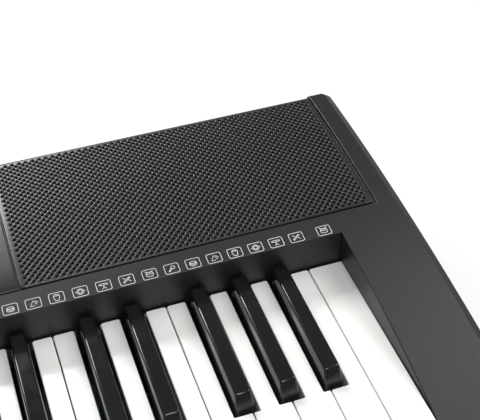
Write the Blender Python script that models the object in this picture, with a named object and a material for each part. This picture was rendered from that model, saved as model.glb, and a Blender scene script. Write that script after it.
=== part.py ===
"""Portable keyboard with 61 full-size keys, two loudspeakers and a control panel.

Metres. +X runs to the player's right, +Y to the rear, +Z up. The origin is the middle of the
footprint at table height. Every object is one piece of the real keyboard.
"""
import math

import bmesh
import bpy
from mathutils import Matrix

for leftover in list(bpy.data.objects):
    bpy.data.objects.remove(leftover, do_unlink=True)

# Keys: counts and sizes
OCTAVES = 5
WHITES_PER_OCTAVE = 7
WHITE_PITCH = 0.0235
KEY_GAP = 0.0008
TAIL_GAP = 0.0022
WHITE_LENGTH = 0.1420
WHITE_TOP_HEIGHT = 0.0600
WHITE_SKIRT = 0.0200
WHITE_LIP = 0.0010
WHITE_LIP_DEPTH = 0.0032
WHITE_LIP_BEVEL = 0.0006
WHITE_EDGE_ROUND = 0.0008
WHITE_DIP = 0.0100
BLACK_LENGTH = 0.0900
BLACK_WIDTH = 0.0117
BLACK_TOP_WIDTH = 0.0093
BLACK_RISE = 0.0100
BLACK_NOSE_RUN = 0.0055
BLACK_NOSE_BEVEL = (0.0012, 0.0010)
BLACK_REAR_CLEARANCE = 0.0004
BLACK_DIP = 0.0091
BLACK_FRONT_CLEARANCE = 0.0020
BLACK_SKIRT_DRAFT = 0.0008
BLACK_FRONT_LEAN = 0.0006
KEY_WALL = 0.0013
KEY_TOP_THICKNESS = 0.0025
KEY_RIB = 0.0030
SKIRT_RUN_OUT = 0.0330
SKIRT_RAMP_FRONT = 0.0280
SKIRT_RAMP_REAR = 0.0140
SINGLE_OCTAVES = 1

# Key tails, the rail they rock on and the frame under them
HINGE_BEHIND_WALL = 0.0240
HINGE_BELOW_TOP = 0.0120
TAIL_TOP_BELOW = 0.0050
TAIL_BOTTOM_BELOW = 0.0156
TAIL_BEHIND_HINGE = 0.0045
RAIL_RADIUS = 0.0022
RAIL_CLEARANCE = 0.0004
RAIL_WEB = 0.0018
COMB_NECK = 0.0055
COMB_BAR_DEPTH = 0.0050
COMB_BAR_THICKNESS = 0.0020
COMB_BAR_SPACING = 0.0018
FRAME_THICKNESS = 0.0020
FRAME_WINDOW = 0.0480
FRAME_WINDOW_INSET = 0.0200
FRAME_WINDOW_TO_HINGE = 0.0120
FRAME_FRONT_INSET = 0.0030
FRAME_PAST_HINGE = 0.0100
FELT_THICKNESS = 0.0024
FELT_WIDTH = 0.0160
FELT_END_INSET = 0.0010
WHITE_FELT_INSET = 0.0060
BLACK_FELT_LEAD = 0.0040
CONTACT_BOARD_WIDTH = 0.0360
CONTACT_BOARD_THICKNESS = 0.0016
CONTACT_RIDGE_BASE = 0.0010
CONTACT_RIDGE_WIDTH = 0.0090

# Case: overall form
CROWN_HEIGHT = 0.0905
ARCH_RADIUS = 0.850
ARCH_CREST_FROM_REAR = 0.0365
END_BLOCK_WIDTH = 0.0463
SIDE_BOW_RADIUS = 3.76
SIDE_BOW_FROM_REAR = 0.0345
SIDE_BEVEL_RUN = 0.0055
SIDE_BEVEL_DROP = 0.0035
REAR_CORNER_RUN = 0.0040
REAR_CORNER_LENGTH = 0.0056
FRONT_ROUND = 0.0060
FOOT_HEIGHT = 0.0060
PARTING_HEIGHT = 0.0300
BELLY_INSET = 0.0030
BELLY_RISE = 0.0080
CASE_WALL = 0.0025
DECK_SKIN = 0.0036
FRONT_RAIL_DEPTH = 0.0110
FRONT_RAIL_BELOW_TOP = 0.0100
FRONT_RAIL_ROUND = 0.0050
FRONT_RAIL_BEVEL = 0.0015
FRONT_RAIL_ROOT = 0.0040
FRONT_RAIL_SOLID = 0.0020
FRONT_GAP = 0.0012
WALL_GAP = 0.0011
SIDE_GAP = 0.0008
WALL_BOTTOM_BELOW = 0.0030
BOSS_RADIUS = 0.0040
FRONT_BOSS_INSET = 0.0300
WALL_BOSS_INSET = 0.0060
REAR_BOSS_INSET = 0.0200
RIB_INSET = 0.0120
RIB_FROM_KEY_FRONT = 0.0140
RIB_THICKNESS = 0.0020
ROOT = 0.0010
SEAT = 0.0003
SLIVER = 0.0001

# Deck behind the keys: grilles, control panel, loudspeakers
MARKING_STRIP = 0.0162
GRILLE_WIDTH = 0.2290
GRILLE_DEPTH = 0.1129
GRILLE_PAST_KEYS = 0.0286
GRILLE_THICKNESS = 0.0015
GRILLE_GAP = 0.0006
GRILLE_END_GAP = 0.0012
GRILLE_HOLE_PITCH = 0.0250
GRILLE_HOLE = 0.0056
GRILLE_MARGIN = 0.0045
REAR_MARGIN = 0.0044
DECK_SINK = 0.0021
PANEL_RISE = 0.0015
PANEL_NOSE_RUN = 0.0030
PANEL_OPENING_MARGIN = 0.0120
PANEL_INSET_TO_KNOB = 0.0450
PANEL_INSET_TO_PAD = 0.0700
BUTTON_ROW_FROM_MIDDLE = 0.0300
WINDOW_FROM_MIDDLE = 0.0140
SPEAKER_RADIUS = 0.0435
SPEAKER_MAGNET_RADIUS = 0.0240
SPEAKER_DEPTH = 0.0340
SPEAKER_FLANGE = 0.0050
SPEAKER_FLANGE_THICKNESS = 0.0025
SPEAKER_ROLL_INSET = 0.0060
SPEAKER_ROLL_DEPTH = 0.0030
SPEAKER_DOME = ((0.0, -0.0120), (0.0080, -0.0150), (0.0120, -0.0180))
SPEAKER_CONE_EDGE = 0.0040
SPEAKER_ROLL_CREST = 0.0015
SPEAKER_BASKET_DEPTH = 0.0200
SPEAKER_PLATE = 0.0015
SPEAKER_BASKET_LIP = 0.0040

# Controls
BOARD_BELOW_CROWN = 0.0125
BOARD_THICKNESS = 0.0016
BOARD_INSET_X = 0.0100
BOARD_INSET_Y = 0.0080
BOARD_POST = 0.0060
WINDOW_WIDTH = 0.1240
WINDOW_DEPTH = 0.0380
WINDOW_LEDGE = 0.0025
WINDOW_THICKNESS = 0.0012
BUTTON_WIDTH = 0.0130
BUTTON_DEPTH = 0.0070
BUTTON_PROUD = 0.0016
BUTTON_TRAVEL = 0.0012
BUTTON_CLEARANCE = 0.0003
BUTTON_FLANGE = 0.0010
BUTTON_STEM = 0.0040
BUTTON_SPACING = 0.0200
PAD_COLUMNS = 3
PAD_ROWS = 4
PAD_PITCH_X = 0.0190
PAD_PITCH_Y = 0.0150
KNOB_RADIUS = 0.0110
KNOB_HEIGHT = 0.0075
KNOB_LIFT = 0.0006
KNOB_DISH_DEPTH = 0.0010
KNOB_DISH_INSET = 0.0030
KNOB_RIM_INSET = 0.0022
KNOB_TAPER = 0.0010
POINTER_WIDTH = 0.0012
POINTER_DEPTH = 0.0020
KNOB_SHAFT_RADIUS = 0.0030
KNOB_SHAFT_CLEARANCE = 0.0005

# Underside and sockets
FOOT_RADIUS = 0.0100
FOOT_BEVEL = 0.0015
FOOT_INSET_X = 0.0600
FOOT_INSET_Y = 0.0300
BATTERY_WIDTH = 0.1100
BATTERY_DEPTH = 0.0500
BATTERY_HEIGHT = 0.0200
BATTERY_WALL = 0.0020
BATTERY_BEHIND_WALL = 0.0520
DOOR_THICKNESS = 0.0020
DOOR_LEDGE = 0.0012
DOOR_GRIP_RADIUS = 0.0060
DOOR_GRIP_DEPTH = 0.0012
DOOR_GRIP_INSET = 0.0100
SOCKET_HEIGHT = 0.0440
HEADPHONE_X = 0.3300
HEADPHONE_BORE_RADIUS = 0.0033
HEADPHONE_BODY = (0.0130, 0.0300, 0.0110)
POWER_X = 0.3600
POWER_BORE_RADIUS = 0.0032
POWER_PIN_RADIUS = 0.0011
POWER_BODY = (0.0100, 0.0140, 0.0110)
SOCKET_BOARD = (0.0560, 0.0340, 0.0016)
SOCKET_POST_SPREAD = (0.0120, 0.0100)
SOCKET_POST_INSET = 0.0220
HEADPHONE_BORE_DEPTH = 0.0260
POWER_BORE_DEPTH = 0.0100
SOCKET_HOLE_EASE = 1.3

# Colours, linear light
CHARCOAL = (0.055, 0.055, 0.056)
MID_CHARCOAL = (0.070, 0.070, 0.072)
IVORY_WHITE = (0.86, 0.86, 0.85)
KEY_BLACK = (0.014, 0.014, 0.014)
GLASS_BLACK = (0.010, 0.012, 0.014)
BOARD_GREEN = (0.020, 0.120, 0.055)
SILICONE_GREY = (0.250, 0.250, 0.255)
FELT_RED = (0.300, 0.020, 0.025)
STEEL_GREY = (0.420, 0.420, 0.430)
RUBBER_BLACK = (0.020, 0.020, 0.020)

# Places that follow from the sizes above
WHITE_COUNT = OCTAVES * WHITES_PER_OCTAVE + 1
KEYBED_HALF = WHITE_COUNT * WHITE_PITCH / 2
OVERALL_DEPTH = (FRONT_RAIL_DEPTH + FRONT_GAP + WHITE_LENGTH + WALL_GAP + MARKING_STRIP
                 + GRILLE_DEPTH + 2 * GRILLE_GAP + REAR_MARGIN)
REAR_Y = OVERALL_DEPTH / 2
FRONT_Y = -REAR_Y
KEY_FRONT_Y = FRONT_Y + FRONT_RAIL_DEPTH + FRONT_GAP
KEY_REAR_Y = KEY_FRONT_Y + WHITE_LENGTH
WALL_Y = KEY_REAR_Y + WALL_GAP
HINGE_Y = WALL_Y + HINGE_BEHIND_WALL
HINGE_Z = WHITE_TOP_HEIGHT - HINGE_BELOW_TOP
TAIL_END_Y = HINGE_Y + TAIL_BEHIND_HINGE
TAIL_TOP_Z = WHITE_TOP_HEIGHT - TAIL_TOP_BELOW
TAIL_BOTTOM_Z = WHITE_TOP_HEIGHT - TAIL_BOTTOM_BELOW
BLACK_FRONT_Y = KEY_REAR_Y - BLACK_LENGTH
BLACK_SKIRT = WHITE_SKIRT + WHITE_DIP - BLACK_DIP
FELT_TOP_Z = WHITE_TOP_HEIGHT - WHITE_SKIRT - WHITE_DIP - SEAT
FRAME_TOP_Z = FELT_TOP_Z - FELT_THICKNESS - SEAT
DECK_FRONT_Y = WALL_Y + MARKING_STRIP
DECK_REAR_Y = REAR_Y - REAR_MARGIN
GRILLE_OUTER_X = KEYBED_HALF + GRILLE_PAST_KEYS
GRILLE_INNER_X = GRILLE_OUTER_X - GRILLE_WIDTH
DECK_HALF = GRILLE_OUTER_X + GRILLE_END_GAP
PANEL_HALF = GRILLE_INNER_X - GRILLE_GAP
GRILLE_CENTRE_Y = (DECK_FRONT_Y + DECK_REAR_Y) / 2
GRILLE_CENTRE_X = (GRILLE_OUTER_X + GRILLE_INNER_X) / 2
PANEL_OPENING_HALF = PANEL_HALF - PANEL_OPENING_MARGIN
PANEL_OPENING_FRONT_Y = DECK_FRONT_Y + PANEL_OPENING_MARGIN
PANEL_OPENING_REAR_Y = DECK_REAR_Y - PANEL_OPENING_MARGIN
BOARD_HALF = PANEL_OPENING_HALF - BOARD_INSET_X
BOARD_FRONT_Y = PANEL_OPENING_FRONT_Y + BOARD_INSET_Y
BOARD_REAR_Y = PANEL_OPENING_REAR_Y - BOARD_INSET_Y
BOARD_TOP_Z = CROWN_HEIGHT - BOARD_BELOW_CROWN
FLOOR_TOP_Z = FOOT_HEIGHT + CASE_WALL
OUT = 0.050
ARCH_STEPS = 12
SLAB_STEP = 0.019


# Outline of the case

def arch_z(y):
    """Height of the top surface at depth y: one arc whose crest lies near the rear."""
    run = y - (REAR_Y - ARCH_CREST_FROM_REAR)
    return CROWN_HEIGHT - ARCH_RADIUS + math.sqrt(ARCH_RADIUS ** 2 - run ** 2)


def arch_tilt(y):
    """Slope angle of the top surface at depth y, positive where it rises to the rear."""
    return math.asin(((REAR_Y - ARCH_CREST_FROM_REAR) - y) / ARCH_RADIUS)


def side_x(y):
    """Half width of the case at depth y: the sides bow outwards towards the front."""
    run = y - (REAR_Y - SIDE_BOW_FROM_REAR)
    bow = SIDE_BOW_RADIUS - math.sqrt(SIDE_BOW_RADIUS ** 2 - run ** 2)
    corner = max(0.0, y - (REAR_Y - REAR_CORNER_LENGTH)) / REAR_CORNER_LENGTH
    return KEYBED_HALF + END_BLOCK_WIDTH + bow - corner * REAR_CORNER_RUN


def nose_drop(y):
    """How far the top edge has rounded down at depth y near the front."""
    into = FRONT_ROUND - (y - FRONT_Y)
    if into <= 0:
        return 0.0
    return FRONT_ROUND - math.sqrt(max(0.0, FRONT_ROUND ** 2 - into ** 2))


def steps(start, end, count):
    """Even stations from start to end."""
    return [start + (end - start) * index / count for index in range(count + 1)]


def case_stations():
    """Depths at which the case is sectioned, closer together round the front edge."""
    nose = [FRONT_Y + FRONT_ROUND * share for share in (0.0, 0.1, 0.4)]
    arch = steps(FRONT_Y + FRONT_ROUND, REAR_Y - REAR_CORNER_LENGTH, ARCH_STEPS)
    return nose + arch + [REAR_Y]


# Modelling operations

def new_object(name, bm):
    """Wrap a finished bmesh as an object in the scene."""
    bmesh.ops.recalc_face_normals(bm, faces=bm.faces)
    mesh = bpy.data.meshes.new(name)
    bm.to_mesh(mesh)
    bm.free()
    obj = bpy.data.objects.new(name, mesh)
    bpy.context.scene.collection.objects.link(obj)
    return obj


def prism_x(name, profile, left, right):
    """Extrude a (y, z) outline from x = left to x = right."""
    bm = bmesh.new()
    face = bm.faces.new([bm.verts.new((left, y, z)) for y, z in profile])
    swept = bmesh.ops.extrude_face_region(bm, geom=[face])["geom"]
    moved = [item for item in swept if isinstance(item, bmesh.types.BMVert)]
    bmesh.ops.translate(bm, verts=moved, vec=(right - left, 0, 0))
    return new_object(name, bm)


def prism_z(name, outline, bottom, top):
    """Extrude an (x, y) outline from z = bottom to z = top."""
    bm = bmesh.new()
    face = bm.faces.new([bm.verts.new((x, y, bottom)) for x, y in outline])
    swept = bmesh.ops.extrude_face_region(bm, geom=[face])["geom"]
    moved = [item for item in swept if isinstance(item, bmesh.types.BMVert)]
    bmesh.ops.translate(bm, verts=moved, vec=(0, 0, top - bottom))
    return new_object(name, bm)


def block(name, low, high):
    """Box between two corners."""
    outline = [(low[0], low[1]), (high[0], low[1]), (high[0], high[1]), (low[0], high[1])]
    return prism_z(name, outline, low[2], high[2])


def loft(name, rings):
    """Skin a row of rings that have equal point counts, and cap both ends."""
    bm = bmesh.new()
    rows = [[bm.verts.new(point) for point in ring] for ring in rings]
    count = len(rows[0])
    for near, far in zip(rows, rows[1:]):
        for index in range(count):
            after = (index + 1) % count
            bm.faces.new((near[index], near[after], far[after], far[index]))
    bm.faces.new(rows[0])
    bm.faces.new(rows[-1])
    return new_object(name, bm)


def arched_slab(name, left, right, front, rear, low, high, nose_run=0.0):
    """Plate that follows the arch, from low to high above it, with an optional ramped nose."""
    stations = steps(front + nose_run, rear, max(2, round((rear - front) / SLAB_STEP)))
    rings = []
    if nose_run:
        z = arch_z(front)
        rings.append([(left, front, z + low), (right, front, z + low), (right, front, z), (left, front, z)])
    for y in stations:
        z = arch_z(y)
        rings.append([(left, y, z + low), (right, y, z + low), (right, y, z + high), (left, y, z + high)])
    return loft(name, rings)


def turned(name, profile, sides, centre):
    """Revolve an (r, z) outline about the vertical through centre."""
    rings = []
    for index in range(sides):
        angle = 2 * math.pi * index / sides
        rings.append((math.cos(angle), math.sin(angle)))
    bm = bmesh.new()
    rows = []
    for radius, z in profile:
        if radius == 0:
            rows.append([bm.verts.new((centre[0], centre[1], centre[2] + z))])
        else:
            rows.append([bm.verts.new((centre[0] + radius * c, centre[1] + radius * s, centre[2] + z))
                         for c, s in rings])
    for near, far in zip(rows, rows[1:]):
        for index in range(sides):
            after = (index + 1) % sides
            corners = [near[index % len(near)], near[after % len(near)],
                       far[after % len(far)], far[index % len(far)]]
            bm.faces.new(list(dict.fromkeys(corners)))
    return new_object(name, bm)


def combine(target, tool, operation):
    """Cut, join or intersect target with tool, keep the result as target's mesh, drop tool."""
    modifier = target.modifiers.new("combine", "BOOLEAN")
    modifier.operation = operation
    modifier.solver = "EXACT"
    modifier.object = tool
    bpy.context.view_layer.update()
    result = target.evaluated_get(bpy.context.evaluated_depsgraph_get())
    mesh = bpy.data.meshes.new_from_object(result)
    target.modifiers.clear()
    target.data = mesh
    bpy.data.objects.remove(tool, do_unlink=True)
    return target


def cut(target, tool):
    """Take tool's shape out of target."""
    return combine(target, tool, "DIFFERENCE")


def join(target, tool):
    """Fuse tool's shape with target."""
    return combine(target, tool, "UNION")


def finish(obj, colour, roughness, metallic=0.0, round_piece=False):
    """Give a piece its own material, and smooth shading where it is round."""
    material = bpy.data.materials.new(obj.name)
    material.use_nodes = True
    shader = material.node_tree.nodes["Principled BSDF"]
    shader.inputs["Base Color"].default_value = (*colour, 1.0)
    shader.inputs["Roughness"].default_value = roughness
    shader.inputs["Metallic"].default_value = metallic
    obj.data.materials.clear()
    obj.data.materials.append(material)
    if round_piece:
        obj.data.shade_smooth()
        obj.data.set_sharp_from_angle(angle=math.radians(35))
    return obj


def put_origin(obj, x, y, z):
    """Move a piece's origin to a point of its joint's axis without moving the piece."""
    obj.data.transform(Matrix.Translation((-x, -y, -z)))
    obj.location = (x, y, z)
    return obj


# Upper case

def case_ring(y, low):
    """Section of the upper case at depth y, with bevelled shoulders."""
    x = side_x(y)
    z = arch_z(y) - nose_drop(y)
    shoulder = z - SIDE_BEVEL_DROP
    flat = x - SIDE_BEVEL_RUN
    return [(-x, y, low), (x, y, low), (x, y, shoulder), (flat, y, z), (-flat, y, z), (-x, y, shoulder)]


def cavity_ring(y, low):
    """Section of the hollow inside the upper case."""
    x = side_x(y) - CASE_WALL
    z = arch_z(y) - DECK_SKIN
    return [(-x, y, low), (x, y, low), (x, y, z), (-x, y, z)]


def upper_case():
    """Top shell: bowed end blocks, marking strip, sunk deck, key recess, screw bosses."""
    bottom = PARTING_HEIGHT + SEAT
    shell = loft("upper_case", [case_ring(y, bottom) for y in case_stations()])
    hollow_front = FRONT_Y + FRONT_ROUND
    hollow_rear = REAR_Y - CASE_WALL
    stations = steps(hollow_front, hollow_rear - REAR_CORNER_LENGTH, ARCH_STEPS) + [hollow_rear]
    hollow = loft("hollow", [cavity_ring(y, -OUT) for y in stations])
    recess_half = KEYBED_HALF + SIDE_GAP
    cut(hollow, block("walls", (-recess_half - CASE_WALL, FRONT_Y - OUT, -2 * OUT),
                      (recess_half + CASE_WALL, WALL_Y + CASE_WALL, 3 * OUT)))
    cut(shell, hollow)
    cut(shell, block("recess", (-recess_half, FRONT_Y - OUT, -OUT), (recess_half, WALL_Y, 3 * OUT)))
    cut(shell, block("tail_slot", (-recess_half, WALL_Y - OUT, -OUT),
                     (recess_half, WALL_Y + 2 * CASE_WALL, WHITE_TOP_HEIGHT - WALL_BOTTOM_BELOW)))
    cut(shell, arched_slab("deck_sink", -DECK_HALF, DECK_HALF, DECK_FRONT_Y, DECK_REAR_Y, -DECK_SINK, OUT))
    cut(shell, block("panel_opening",
                     (-PANEL_OPENING_HALF, PANEL_OPENING_FRONT_Y, PARTING_HEIGHT + OUT / 2),
                     (PANEL_OPENING_HALF, PANEL_OPENING_REAR_Y, CROWN_HEIGHT + OUT)))
    hole = SPEAKER_RADIUS - SPEAKER_FLANGE
    for side in (-1, 1):
        tube = [(0, 0), (hole, 0), (hole, OUT), (0, OUT)]
        cut(shell, turned("speaker_hole", tube, 20, (side * GRILLE_CENTRE_X, GRILLE_CENTRE_Y,
                                                     arch_z(GRILLE_CENTRE_Y) - OUT / 2)))
    for x, radius in ((HEADPHONE_X, HEADPHONE_BORE_RADIUS), (POWER_X, POWER_BORE_RADIUS)):
        cut(shell, bore("socket_hole", x, REAR_Y - 2 * CASE_WALL, REAR_Y + OUT, SOCKET_HOLE_EASE * radius))
    boss_x = KEYBED_HALF + SIDE_GAP + END_BLOCK_WIDTH / 2
    for side in (-1, 1):
        for y in (FRONT_Y + FRONT_BOSS_INSET, WALL_Y + WALL_BOSS_INSET, REAR_Y - REAR_BOSS_INSET):
            length = arch_z(y) - (DECK_SINK + DECK_SKIN) / 2 - FLOOR_TOP_Z - SEAT
            post = [(0, 0), (BOSS_RADIUS, 0), (BOSS_RADIUS, length), (0, length)]
            join(shell, turned("boss", post, 8, (side * boss_x, y, FLOOR_TOP_Z + SEAT)))
    return finish(shell, CHARCOAL, 0.55)


def bore(name, x, front, rear, radius):
    """Round cutter along Y at the height of the sockets."""
    sides = 12
    turns = [2 * math.pi * index / sides for index in range(sides)]
    ring = [(x + radius * math.cos(turn), SOCKET_HEIGHT + radius * math.sin(turn)) for turn in turns]
    return loft(name, [[(px, y, pz) for px, pz in ring] for y in (front, rear)])


# Lower case

def tray_ring(y, inset, low, top):
    """Section of the lower case at depth y, tucked in towards its belly."""
    x = side_x(y) - inset
    return [(-x + BELLY_INSET, y, low), (x - BELLY_INSET, y, low), (x, y, low + BELLY_RISE),
            (x, y, top), (-x, y, top), (-x, y, low + BELLY_RISE)]


def lower_case():
    """Bottom tray with the front rail, the battery box, ribs under the key frame and posts."""
    top = PARTING_HEIGHT
    ends = [FRONT_Y + BELLY_INSET, REAR_Y - REAR_CORNER_LENGTH]
    stations = steps(ends[0], ends[1], 5)
    rings = [[(x, FRONT_Y, max(z, FOOT_HEIGHT + BELLY_RISE / 2)) for x, _, z in
              tray_ring(FRONT_Y, 0.0, FOOT_HEIGHT, top)]]
    rings += [tray_ring(y, 0.0, FOOT_HEIGHT, top) for y in stations]
    rings.append(tray_ring(REAR_Y, 0.0, FOOT_HEIGHT, top))
    tray = loft("lower_case", rings)
    rail_half = KEYBED_HALF + SIDE_GAP - SEAT
    rail_top = WHITE_TOP_HEIGHT - FRONT_RAIL_BELOW_TOP
    rail_rear = FRONT_Y + FRONT_RAIL_DEPTH
    root = top - FRONT_RAIL_ROOT
    rail = [(FRONT_Y, root), (FRONT_Y, rail_top - FRONT_RAIL_ROUND),
            (FRONT_Y + FRONT_RAIL_BEVEL, rail_top - FRONT_RAIL_BEVEL),
            (FRONT_Y + FRONT_RAIL_ROUND, rail_top), (rail_rear, rail_top), (rail_rear, root)]
    join(tray, prism_x("rail", rail, -rail_half, rail_half))
    hollow_rear = REAR_Y - CASE_WALL
    depths = (FRONT_Y + CASE_WALL, 0.0, hollow_rear - REAR_CORNER_LENGTH, hollow_rear)
    hollow = loft("hollow", [tray_ring(y, CASE_WALL, FLOOR_TOP_Z, top + OUT) for y in depths])
    shelf = top - SLIVER
    wall = [(FRONT_Y - OUT, shelf), (FRONT_Y - OUT, OUT * 3), (rail_rear, OUT * 3), (rail_rear, shelf)]
    cut(hollow, prism_x("rail_keep", wall, -rail_half - SEAT, rail_half + SEAT))
    cut(tray, hollow)
    rail_hollow = block("rail_hollow", (-rail_half + CASE_WALL, FRONT_Y + CASE_WALL, top - FRONT_RAIL_SOLID),
                        (rail_half - CASE_WALL, rail_rear - CASE_WALL, rail_top - CASE_WALL))
    cut(tray, rail_hollow)
    frame_bottom = FRAME_TOP_Z - FRAME_THICKNESS - SEAT
    for index in range(OCTAVES + 1):
        x = -KEYBED_HALF + RIB_INSET + index * 2 * (KEYBED_HALF - RIB_INSET) / OCTAVES
        join(tray, block("rib", (x - RIB_THICKNESS / 2, KEY_FRONT_Y + RIB_FROM_KEY_FRONT, FLOOR_TOP_Z - ROOT),
                         (x + RIB_THICKNESS / 2, HINGE_Y, frame_bottom)))
    battery_box(tray)
    for x in (HEADPHONE_X - SOCKET_POST_SPREAD[0], POWER_X + SOCKET_POST_SPREAD[1]):
        length = SOCKET_HEIGHT - HEADPHONE_BODY[2] / 2 - SOCKET_BOARD[2] - 2 * SEAT - FLOOR_TOP_Z + ROOT
        post = [(0, 0), (BOSS_RADIUS, 0), (BOSS_RADIUS, length), (0, length)]
        join(tray, turned("post", post, 8, (x, REAR_Y - SOCKET_POST_INSET, FLOOR_TOP_Z - ROOT)))
    return finish(tray, MID_CHARCOAL, 0.6)


def battery_box(tray):
    """Box for six cells, open downwards, with a ledge that the door closes on."""
    front = WALL_Y + BATTERY_BEHIND_WALL
    half = BATTERY_WIDTH / 2
    roof = FLOOR_TOP_Z + BATTERY_HEIGHT
    join(tray, block("box", (-half - BATTERY_WALL, front - BATTERY_WALL, FLOOR_TOP_Z - ROOT),
                     (half + BATTERY_WALL, front + BATTERY_DEPTH + BATTERY_WALL, roof + BATTERY_WALL)))
    cut(tray, block("cells", (-half, front, -OUT), (half, front + BATTERY_DEPTH, roof)))
    lip = DOOR_LEDGE + SEAT
    cut(tray, block("rebate", (-half - lip, front - lip, -OUT),
                    (half + lip, front + BATTERY_DEPTH + lip, FOOT_HEIGHT + DOOR_THICKNESS + SEAT)))


def battery_door():
    """Flat lid with a finger scoop. It turns down about its front lower edge."""
    front = WALL_Y + BATTERY_BEHIND_WALL - DOOR_LEDGE
    rear = front + BATTERY_DEPTH + 2 * DOOR_LEDGE
    half = BATTERY_WIDTH / 2 + DOOR_LEDGE
    door = block("battery_door", (-half, front, FOOT_HEIGHT), (half, rear, FOOT_HEIGHT + DOOR_THICKNESS))
    scoop = [(0, 0), (DOOR_GRIP_RADIUS, 0), (DOOR_GRIP_RADIUS - ROOT, DOOR_GRIP_DEPTH), (0, DOOR_GRIP_DEPTH)]
    cut(door, turned("scoop", scoop, 12, (0, rear - DOOR_GRIP_INSET, FOOT_HEIGHT - SLIVER)))
    finish(door, MID_CHARCOAL, 0.6)
    return put_origin(door, 0, front, FOOT_HEIGHT)


def feet():
    """Four rubber feet, turned, bevelled at the table."""
    profile = [(0, 0), (FOOT_RADIUS - FOOT_BEVEL, 0), (FOOT_RADIUS, FOOT_BEVEL),
               (FOOT_RADIUS, FOOT_HEIGHT - SEAT), (0, FOOT_HEIGHT - SEAT)]
    foot_x = KEYBED_HALF + END_BLOCK_WIDTH - FOOT_INSET_X
    for end, y in (("front", FRONT_Y + FOOT_INSET_Y), ("rear", REAR_Y - FOOT_INSET_Y)):
        for hand, side in (("left", -1), ("right", 1)):
            foot = turned("foot_" + end + "_" + hand, profile, 14, (side * foot_x, y, 0.0))
            finish(foot, RUBBER_BLACK, 0.85, round_piece=True)


# Deck pieces

def speaker_grille(name, side):
    """Arched perforated cover over a loudspeaker, with staggered diamond holes."""
    edges = sorted((side * GRILLE_INNER_X, side * GRILLE_OUTER_X))
    front = DECK_FRONT_Y + GRILLE_GAP
    rear = front + GRILLE_DEPTH
    low = SEAT - DECK_SINK
    grille = arched_slab(name, edges[0], edges[1], front, rear, low, low + GRILLE_THICKNESS)
    reach = GRILLE_HOLE / math.sqrt(2)
    bm = bmesh.new()
    columns = int((GRILLE_WIDTH - 2 * GRILLE_MARGIN - 2 * reach) / (GRILLE_HOLE_PITCH / 2))
    rows = int((GRILLE_DEPTH - 2 * GRILLE_MARGIN - 2 * reach) / (GRILLE_HOLE_PITCH / 2))
    for column in range(columns + 1):
        for row in range(column % 2, rows + 1, 2):
            x = side * GRILLE_CENTRE_X + (column - columns / 2) * GRILLE_HOLE_PITCH / 2
            y = (front + rear) / 2 + (row - rows / 2) * GRILLE_HOLE_PITCH / 2
            z = arch_z(y) - OUT / 4
            ring = [(x + reach, y), (x, y + reach), (x - reach, y), (x, y - reach)]
            face = bm.faces.new([bm.verts.new((px, py, z)) for px, py in ring])
            swept = bmesh.ops.extrude_face_region(bm, geom=[face])["geom"]
            moved = [item for item in swept if isinstance(item, bmesh.types.BMVert)]
            bmesh.ops.translate(bm, verts=moved, vec=(0, 0, OUT / 2))
    cut(grille, new_object("holes", bm))
    return finish(grille, MID_CHARCOAL, 0.5)


def loudspeaker(name, side):
    """Driver: steel basket flange, rubber roll, dished cone with a dome, and magnet."""
    radius = SPEAKER_RADIUS
    opening = radius - SPEAKER_FLANGE
    cone = opening - SPEAKER_ROLL_INSET
    basket = SPEAKER_MAGNET_RADIUS + SPEAKER_BASKET_LIP
    plate = SPEAKER_BASKET_DEPTH + SPEAKER_PLATE
    profile = list(SPEAKER_DOME) + [
        (cone, -SPEAKER_CONE_EDGE), (cone + SPEAKER_CONE_EDGE, -SPEAKER_ROLL_CREST),
        (opening, -SPEAKER_ROLL_DEPTH), (opening, 0), (radius, 0), (radius, -SPEAKER_FLANGE_THICKNESS),
        (basket, -SPEAKER_BASKET_DEPTH), (basket, -plate), (SPEAKER_MAGNET_RADIUS, -plate),
        (SPEAKER_MAGNET_RADIUS, -SPEAKER_DEPTH), (0, -SPEAKER_DEPTH)]
    driver = turned(name, profile, 14, (0, 0, 0))
    y = GRILLE_CENTRE_Y
    sag = ARCH_RADIUS - math.sqrt(ARCH_RADIUS ** 2 - radius ** 2)
    seat_z = arch_z(y) - DECK_SKIN - SEAT - sag
    driver.data.transform(Matrix.Rotation(arch_tilt(y), 4, "X"))
    driver.data.transform(Matrix.Translation((side * GRILLE_CENTRE_X, y, seat_z)))
    return finish(driver, GLASS_BLACK, 0.6, round_piece=True)


# Controls: where each stands on the panel
BUTTON_ROW_Y = GRILLE_CENTRE_Y - BUTTON_ROW_FROM_MIDDLE
FUNCTION_BUTTONS = ("rhythm_button", "tone_button", "tempo_down_button", "tempo_up_button",
                    "record_button", "play_button", "start_stop_button")
WINDOW_Y = GRILLE_CENTRE_Y + WINDOW_FROM_MIDDLE
KNOB_PLACE = (-PANEL_HALF + PANEL_INSET_TO_KNOB, WINDOW_Y)
POWER_BUTTON_PLACE = (-PANEL_HALF + PANEL_INSET_TO_KNOB, BUTTON_ROW_Y)
PAD_CENTRE = (PANEL_HALF - PANEL_INSET_TO_PAD, GRILLE_CENTRE_Y)


def button_places():
    """Name and place of each single push button."""
    first = -BUTTON_SPACING * (len(FUNCTION_BUTTONS) - 1) / 2
    places = [(name, first + BUTTON_SPACING * index, BUTTON_ROW_Y)
              for index, name in enumerate(FUNCTION_BUTTONS)]
    return places + [("power_button", *POWER_BUTTON_PLACE)]


def pad_places():
    """Centres of the number pad's keys."""
    return [(PAD_CENTRE[0] + (column - (PAD_COLUMNS - 1) / 2) * PAD_PITCH_X,
             PAD_CENTRE[1] + (row - (PAD_ROWS - 1) / 2) * PAD_PITCH_Y)
            for column in range(PAD_COLUMNS) for row in range(PAD_ROWS)]


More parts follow.
